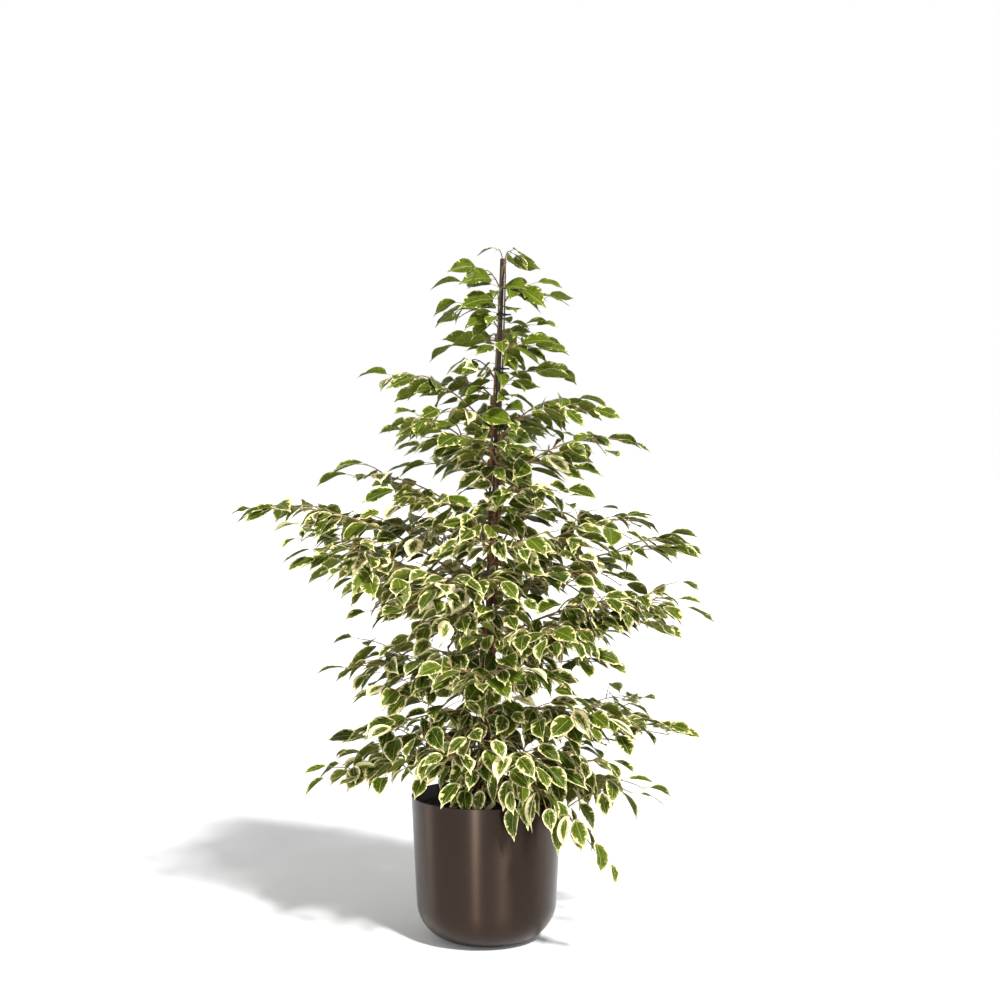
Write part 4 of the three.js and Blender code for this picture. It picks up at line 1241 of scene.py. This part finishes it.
class Blade:
    """One leaf blade, modelled flat and a unit long, from which every leaf is bent."""

    # The underside hangs by its first depth past the edge, and by the second more at the midrib
    depths = (0.4, 0.6)
    past_edge = 0.1
    midrib = 0.9
    # The waves: how they lean across the blade, rise towards its edge, and fade at its narrow ends
    wave_lean = 0.2
    wave_rise = 1.5
    wave_fade = 6
    # How yellow a blade is: by a draw, raised to a power, and by its height
    youth_by_draw = (0.7, 1.5)
    youth_by_height = 0.45

    def __init__(self, settings):
        self.thickness = settings.blade_thickness / MM
        deselect()
        bpy.ops.mesh.primitive_grid_add(
            x_subdivisions=BLADE_COLUMNS, y_subdivisions=len(BLADE_OUTLINE) - 1, size=2, location=(0, 0, 0)
        )
        self.piece = bpy.context.object
        self.piece.name = "blade_pattern"
        self.piece.data.materials.append(leaf_material(settings))
        self.shape_outline()
        self.add_underside()
        corners = np.array([vertex.co for vertex in self.piece.data.vertices])
        self.share = corners[:, 1]
        shares, halves = zip(*BLADE_OUTLINE)
        self.half = np.interp(self.share, shares, halves)
        self.across = corners[:, 0] / self.half
        self.layer = corners[:, 2]

    def remove(self):
        bpy.data.objects.remove(self.piece)

    def shape_outline(self):
        """Narrows each row of the grid to the outline, and moves it to its place along the blade."""
        rows = len(BLADE_OUTLINE)
        bpy.ops.object.mode_set(mode="EDIT")
        bpy.ops.mesh.select_mode(type="VERT")
        for i, (share, half) in reversed(list(enumerate(BLADE_OUTLINE))):
            height = 2 * i / (rows - 1) - 1
            select_vertices(self.piece, lambda co, at=height: abs(co.y - at) < 0.01 and co.z < 0.5)
            bpy.ops.transform.resize(value=(half, 1, 1), center_override=(0, height, 0))
            bpy.ops.transform.translate(value=(0, share - height, 1))
        bpy.ops.mesh.select_all(action="SELECT")
        bpy.ops.transform.translate(value=(0, 0, -1))

    def add_underside(self):
        """Doubles the face, lets the copy hang below, deepest at the midrib, and closes the edges."""
        bpy.ops.mesh.select_all(action="SELECT")
        bpy.ops.mesh.duplicate()
        bpy.ops.mesh.flip_normals()
        shape = bmesh.from_edit_mesh(self.piece.data)
        under = shape.faces.layers.float.new("underside")
        edge_depth, midrib_depth = self.depths
        for face in shape.faces:
            face[under] = 1.0 if face.select else 0.0
        for vertex in shape.verts:
            _, half = min(BLADE_OUTLINE, key=lambda place: abs(place[0] - vertex.co.y))
            inner = 1 - abs(vertex.co.x) / half
            if vertex.select and inner > self.past_edge and 0.01 < vertex.co.y < 0.99:
                vertex.co.z = -edge_depth - midrib_depth * (inner > self.midrib)
        bmesh.update_edit_mesh(self.piece.data)
        bpy.ops.mesh.select_all(action="SELECT")
        bpy.ops.mesh.remove_doubles(threshold=0.0005)
        bpy.ops.object.mode_set(mode="OBJECT")

    def bent(self, leaf, draw):
        """A copy with its own mesh: folded, waved, twisted and arched into its place."""
        axes, length = leaf["axes"], leaf["length"]
        width = draw.between(BLADE_WIDTH)
        fold = draw.between(BLADE_FOLD)
        twist = math.radians(draw.between(BLADE_TWIST))
        wave = draw.between(BLADE_WAVE)
        waves = draw.between(BLADE_WAVES)
        phase = draw.between((0, 1))
        sickle = draw.between(BLADE_SICKLE)
        wobble = draw.between(BLADE_WOBBLE)
        wobbling = 2 * math.pi * (BLADE_WOBBLES * self.share + phase) + 2 * np.sign(self.across)
        uneven = 1 + wobble * np.sin(wobbling)
        aside = self.across * self.half * uneven * width * length
        swing = np.sin(2 * math.pi * (waves * self.share + phase + self.wave_lean * self.across))
        fading = np.minimum(1, self.half * self.wave_fade)
        waved = wave * np.abs(self.across) ** self.wave_rise * swing * fading
        lift = fold * np.abs(aside) + waved
        turn = twist * self.share
        x = aside * np.cos(turn) - lift * np.sin(turn) + sickle * length * self.share**2
        z = aside * np.sin(turn) + lift * np.cos(turn) + self.layer * self.thickness
        bend = math.radians(axes["arch"]) * self.share
        radius = length / math.radians(axes["arch"])
        forward = radius * np.sin(bend) + z * np.sin(bend)
        up = radius * (np.cos(bend) - 1) + z * np.cos(bend)
        base, side, along, face = (np.array(axes[key]) for key in ("base", "side", "along", "face"))
        places = base + np.outer(x, side) + np.outer(forward, along) + np.outer(up, face)
        copy = copied(self.piece, places * MM)
        self.mark(copy.data, axes["base"], np.abs(aside), uneven * width * length, length, draw)
        return copy

    def mark(self, data, base, aside, breadth, length, draw):
        """Writes where each corner lies on the blade, in millimetres, for the leaf's pattern."""
        seed = draw.between((0, 1)) * PATTERN_STEP
        half = seed + HALVES_APART * np.sign(self.across)
        veins = np.stack([aside, self.share * length - VEIN_SLOPE * aside, half], axis=1)
        edge = (1 - np.abs(self.across)) * self.half * breadth
        mostly_cream = draw.between((0, 1))
        plain = CREAM_LEAST + CREAM_MORE * draw.between((0, 1)) ** 2
        fuller = sum(more for above, more in CREAM_FULLER if mostly_cream > above)
        fade = min(1, max(0, (base[2] - CREAM_FADE_FROM) / CREAM_FADE_OVER))
        most, power = self.youth_by_draw
        youth = most * draw.between((0, 1)) ** power + self.youth_by_height * fade
        write(data, "vein_place", veins.ravel(), "FLOAT_VECTOR", "vector")
        write(data, "edge_distance", edge)
        write(data, "cream_width", np.full(len(edge), plain + fuller - CREAM_FADE * fade))
        write(data, "youth", np.full(len(edge), youth))


def twig_strand(twig):
    """A twig's points and radii, flared where it leaves the wood that carries it."""
    thick, thin = twig["radii"]
    steps = max(4, round(twig["length"] / TWIG_POINTS))
    strand = []
    for i in range(steps + 1):
        radius = thick + (thin - thick) * i / steps
        strand.append((point_on(twig["curve"], i / steps), radius * (1 if i else TWIG_FLARE)))
    return strand


def twig_tubes(name, twigs):
    return tubes(name, [twig_strand(twig) for twig in twigs], TWIG_ROUNDNESS, twig_material())


def stalk_strand(leaf):
    """A leaf's stalk, from the twig into the foot of its midrib."""
    at, base = leaf["at"], leaf["axes"]["base"]
    knee = add(add(at, less(base, at), STALK_KNEE), UP, STALK_LIFT)
    reach, tip_radius = STALK_FOOT
    strand = [(point_on((at, knee, base), t), radius) for t, radius in STALK_RADII]
    return [*strand, (add(base, leaf["axes"]["along"], reach), tip_radius)]


def bud_strand(twig):
    """The pointed bud at a twig's end."""
    way = direction_on(twig["curve"], 1)
    return [(add(twig["curve"][2], way, along), radius) for along, radius in BUD_RADII]


def leafy(name, wood, owner, blade, seed):
    """Joins wood with the stalks, buds and blades that grow on it, into one piece."""
    twigs, leaves = growth_of(owner)
    strands = [stalk_strand(leaf) for leaf in leaves] + [bud_strand(twig) for twig in twigs]
    green = tubes("green", strands, TWIG_ROUNDNESS, stalk_material())
    draw = Draw(seed)
    piece = joined(name, [*[blade.bent(leaf, draw) for leaf in leaves], wood, green])
    smooth(piece, 70)
    return piece


class FIG_OT_stems(bpy.types.Operator):
    """Add the three stems that wind round the stake, with their late shoots and leaves"""

    bl_idname = "fig.stems"
    bl_label = "Stems"

    step = 7
    knot_reach = 9
    knot_swell = 0.12
    uneven = (0.96, 1.03)
    slimmer = 0.35

    def execute(self, context):
        settings = context.scene.fig_plant
        blade = Blade(settings)
        bark = bark_material(settings)
        for number, row in enumerate(STEMS):
            owner = SPUR_OWNERS - number
            strand = self.strand(row, Draw(number + STEM_SEED))
            wood = tubes("wood", [strand], STEM_ROUNDNESS, bark)
            twigs, _ = growth_of(owner)
            if twigs:
                shoots = twig_tubes("shoots", twigs)
                wood = joined("wood", [wood, shoots])
            piece = leafy(f"wound_stem_{number + 1}", wood, owner, blade, number + STEM_BLADE_SEED)
            dress(piece, f"stem_{number + 1}", "bark")
        blade.remove()
        return {"FINISHED"}

    def strand(self, row, draw):
        """A stem's points and radii: slimmer towards its tip than its solid, so that leaves hide it."""
        top = row[2]
        count = round((top - STEM_FOOT) / self.step)
        strand = []
        for i in range(count + 1):
            z = STEM_FOOT + (top - STEM_FOOT) * i / count
            centre, radius, _ = stem_at(row, z)
            slim = 1 - self.slimmer * max(0, z - SOIL_TOP) / (top - SOIL_TOP)
            strand.append((centre, radius * slim * self.swelling(z, draw)))
        return strand

    def swelling(self, z, draw):
        """How much thicker a stem is where a branch leaves it."""
        nearest = min(abs(z - row[0]) for row in BRANCHES)
        knot = max(0, 1 - nearest / self.knot_reach)
        return draw.between(self.uneven) + self.knot_swell * knot


def tie_reach(height, angle, inset):
    """How far a tie reaches in a direction, round the stake and the stems that are there."""
    middle = stake_at(height)
    out = level(angle)
    reaches = [STAKE_RADIUS]
    for row in STEMS:
        if row[2] > height + TIE_BAND:
            centre, radius, _ = stem_at(row, height)
            reaches.append(dot(less(centre, middle), out) + radius)
    return max(reaches) + inset


def tie_corner(height, angle, inset):
    """Where the tangents of two near directions meet."""
    step = 360 / TIE_SIDES
    here, there = tie_reach(height, angle, inset), tie_reach(height, angle + step, inset)
    along = (there - here * math.cos(math.radians(step))) / math.sin(math.radians(step))
    out, aside = level(angle), level(angle + 90)
    middle = stake_at(height)
    return tuple((middle[i] + out[i] * here + aside[i] * along) * MM for i in (0, 1))


class FIG_OT_ties(bpy.types.Operator):
    """Add the black ties that hold the stems to the stake"""

    bl_idname = "fig.ties"
    bl_label = "Ties"

    def execute(self, context):
        black = plastic_material("tie_plastic", colour(18, 18, 18), colour(34, 33, 32))
        for number, height in enumerate(TIE_HEIGHTS, start=1):
            piece = joined(f"plastic_tie_{number}", [self.band(height), self.tail(height)])
            smooth(piece, 35)
            dress(piece, f"tie_{number}", "tie_plastic", black)
        return {"FINISHED"}

    def band(self, height):
        deselect()
        bpy.ops.mesh.primitive_circle_add(vertices=TIE_SIDES, radius=MM, fill_type="NOTHING")
        band = bpy.context.object
        bottom = (height - TIE_BAND / 2) * MM
        for i, vertex in enumerate(band.data.vertices):
            corner = tie_corner(height, 360 * i / TIE_SIDES, TIE_OFF + TIE_THICK)
            vertex.co = (*corner, bottom)
        bpy.ops.object.mode_set(mode="EDIT")
        bpy.ops.mesh.select_all(action="SELECT")
        bpy.ops.mesh.extrude_edges_move(TRANSFORM_OT_translate={"value": (0, 0, TIE_BAND * MM)})
        outward()
        thicken(band, TIE_THICK * MM)
        round_edges(band, 0.0003, 50)
        return band

    def tail(self, height):
        """The short tail, sunk into the band and narrower towards its end."""
        deselect()
        length, thick, tall, sunk = TIE_TAIL
        x, y, _ = stake_at(height)
        seat = x + tie_reach(height, 0, TIE_OFF + TIE_THICK)
        place = ((seat + (length - sunk) / 2) * MM, y * MM, height * MM)
        bpy.ops.mesh.primitive_cube_add(size=1, location=place)
        tail = bpy.context.object
        tail.scale = ((length + sunk) * MM, thick * MM, tall * MM)
        bpy.ops.object.transform_apply()
        bpy.ops.object.mode_set(mode="EDIT")
        select_vertices(tail, lambda co: co.x > (seat + length / 2) * MM)
        start = (seat * MM, y * MM, height * MM)
        bpy.ops.transform.resize(value=TIE_TAIL_END, center_override=start)
        bpy.ops.object.mode_set(mode="OBJECT")
        round_edges(tail, 0.0004, 50)
        return tail


class FIG_OT_branches(bpy.types.Operator):
    """Add the leafy branches, each with its twigs, leaf stalks and leaves"""

    bl_idname = "fig.branches"
    bl_label = "Leafy branches"

    def execute(self, context):
        blade = Blade(context.scene.fig_plant)
        for branch in range(len(BRANCHES)):
            number = f"{branch + 1:02d}"
            twigs, _ = growth_of(branch)
            wood = twig_tubes("wood", twigs)
            piece = leafy(f"leafy_branch_{number}", wood, branch, blade, branch + BRANCH_BLADE_SEED)
            dress(piece, f"branch_{number}", "foliage")
        blade.remove()
        return {"FINISHED"}


class FIG_OT_stage(bpy.types.Operator):
    """Add the floor, the light and the camera"""

    bl_idname = "fig.stage"
    bl_label = "Stage"

    camera_place = (0.0228, -3.0, 0.85)
    camera_aim = (0.0228, 0.0, 0.7455)
    camera_lens = 63.9
    sun_from = (0.6, -0.98, 1.15)
    # Each upright light: where it stands, its width and its power
    strips = ((-0.67, -2.35, 0.3, 19), (2.3, 0.5, 1.5, 10), (-2.3, 0.25, 0.6, 7))
    strip_height = 0.7
    strip_middle = 0.42
    strip_aim = (0, 0, 0.2)
    floor_width = 60
    floor_patches = 0.98
    wall_to_ceiling = (0.25, 0.4)

    def execute(self, context):
        settings = context.scene.fig_stage
        self.add_floor(settings)
        self.add_sky(context.scene, settings)
        self.add_sun(settings)
        self.add_strips()
        self.add_camera(context.scene)
        context.scene.view_settings.view_transform = "Standard"
        return {"FINISHED"}

    def add_floor(self, settings):
        deselect()
        bpy.ops.mesh.primitive_plane_add(size=self.floor_width, location=(0, 0, 0))
        floor = bpy.context.object
        floor.name = "studio_floor"
        look = Look("studio_floor", roughness=0.9, specular_ior_level=0.1)
        pale = tuple(v * self.floor_patches for v in settings.floor[:3]) + (1,)
        tone = look.blended(look.grain((3, 3, 3)), tuple(settings.floor), pale)
        look.feed(look.inputs["Base Color"], tone)
        floor.data.materials.append(look.material)

    def add_sky(self, scene, settings):
        """A white wall all round, and a dimmer ceiling."""
        world = bpy.data.worlds.new("studio")
        world.use_nodes = True
        nodes = Nodes(world.node_tree)
        height = nodes.axis(nodes.put("TexCoord", {}, output="Generated"), "Z")
        background = nodes.tree.nodes["Background"].inputs
        strength = nodes.spread(height, *self.wall_to_ceiling, 1.0, settings.sky)
        nodes.feed(background["Strength"], strength)
        nodes.feed(background["Color"], (1, 1, 1, 1))
        scene.world = world

    def add_sun(self, settings):
        bpy.ops.object.light_add(type="SUN", rotation=facing(Vector(self.sun_from)))
        sun = bpy.context.object
        sun.data.energy = settings.sun
        sun.data.angle = settings.softness

    def add_strips(self):
        """Tall soft lights: a narrow one for the planter's highlight, and a wide one on each side."""
        for x, y, width, power in self.strips:
            place = Vector((x, y, self.strip_middle))
            turn = facing(place - Vector(self.strip_aim))
            bpy.ops.object.light_add(type="AREA", location=place, rotation=turn)
            strip = bpy.context.object
            strip.data.shape = "RECTANGLE"
            strip.data.size = width
            strip.data.size_y = self.strip_height
            strip.data.energy = power

    def add_camera(self, scene):
        place, aim = Vector(self.camera_place), Vector(self.camera_aim)
        bpy.ops.object.camera_add(location=place, rotation=facing(place - aim))
        camera = bpy.context.object
        camera.data.lens = self.camera_lens
        scene.camera = camera


OPERATORS = (
    FIG_OT_planter,
    FIG_OT_nursery_pot,
    FIG_OT_soil,
    FIG_OT_stake,
    FIG_OT_stems,
    FIG_OT_ties,
    FIG_OT_branches,
    FIG_OT_stage,
)


class FIG_PT_panel(bpy.types.Panel):
    """Lists the pieces of the fig and their settings"""

    bl_idname = "FIG_PT_panel"
    bl_label = "Weeping Fig"
    bl_space_type = "VIEW_3D"
    bl_region_type = "UI"
    bl_category = "Fig"

    def draw(self, context):
        for operator in OPERATORS:
            self.layout.operator(operator.bl_idname)
        for name in SETTINGS:
            group = getattr(context.scene, name)
            for key in group.__annotations__:
                self.layout.prop(group, key)


SETTINGS = {"fig_pot": FigPotSettings, "fig_plant": FigPlantSettings, "fig_stage": FigStageSettings}
CLASSES = (*SETTINGS.values(), *OPERATORS, FIG_PT_panel)


def register():
    for item in CLASSES:
        bpy.utils.register_class(item)
    for name, group in SETTINGS.items():
        setattr(bpy.types.Scene, name, bpy.props.PointerProperty(type=group))


def unregister():
    for name in SETTINGS:
        delattr(bpy.types.Scene, name)
    for item in reversed(CLASSES):
        bpy.utils.unregister_class(item)


def main():
    register()
    bpy.ops.fig.planter()
    bpy.ops.fig.nursery_pot()
    bpy.ops.fig.soil()
    bpy.ops.fig.stake()
    bpy.ops.fig.stems()
    bpy.ops.fig.ties()
    bpy.ops.fig.branches()
    bpy.ops.fig.stage()
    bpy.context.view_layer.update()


if __name__ == "__main__":
    main()
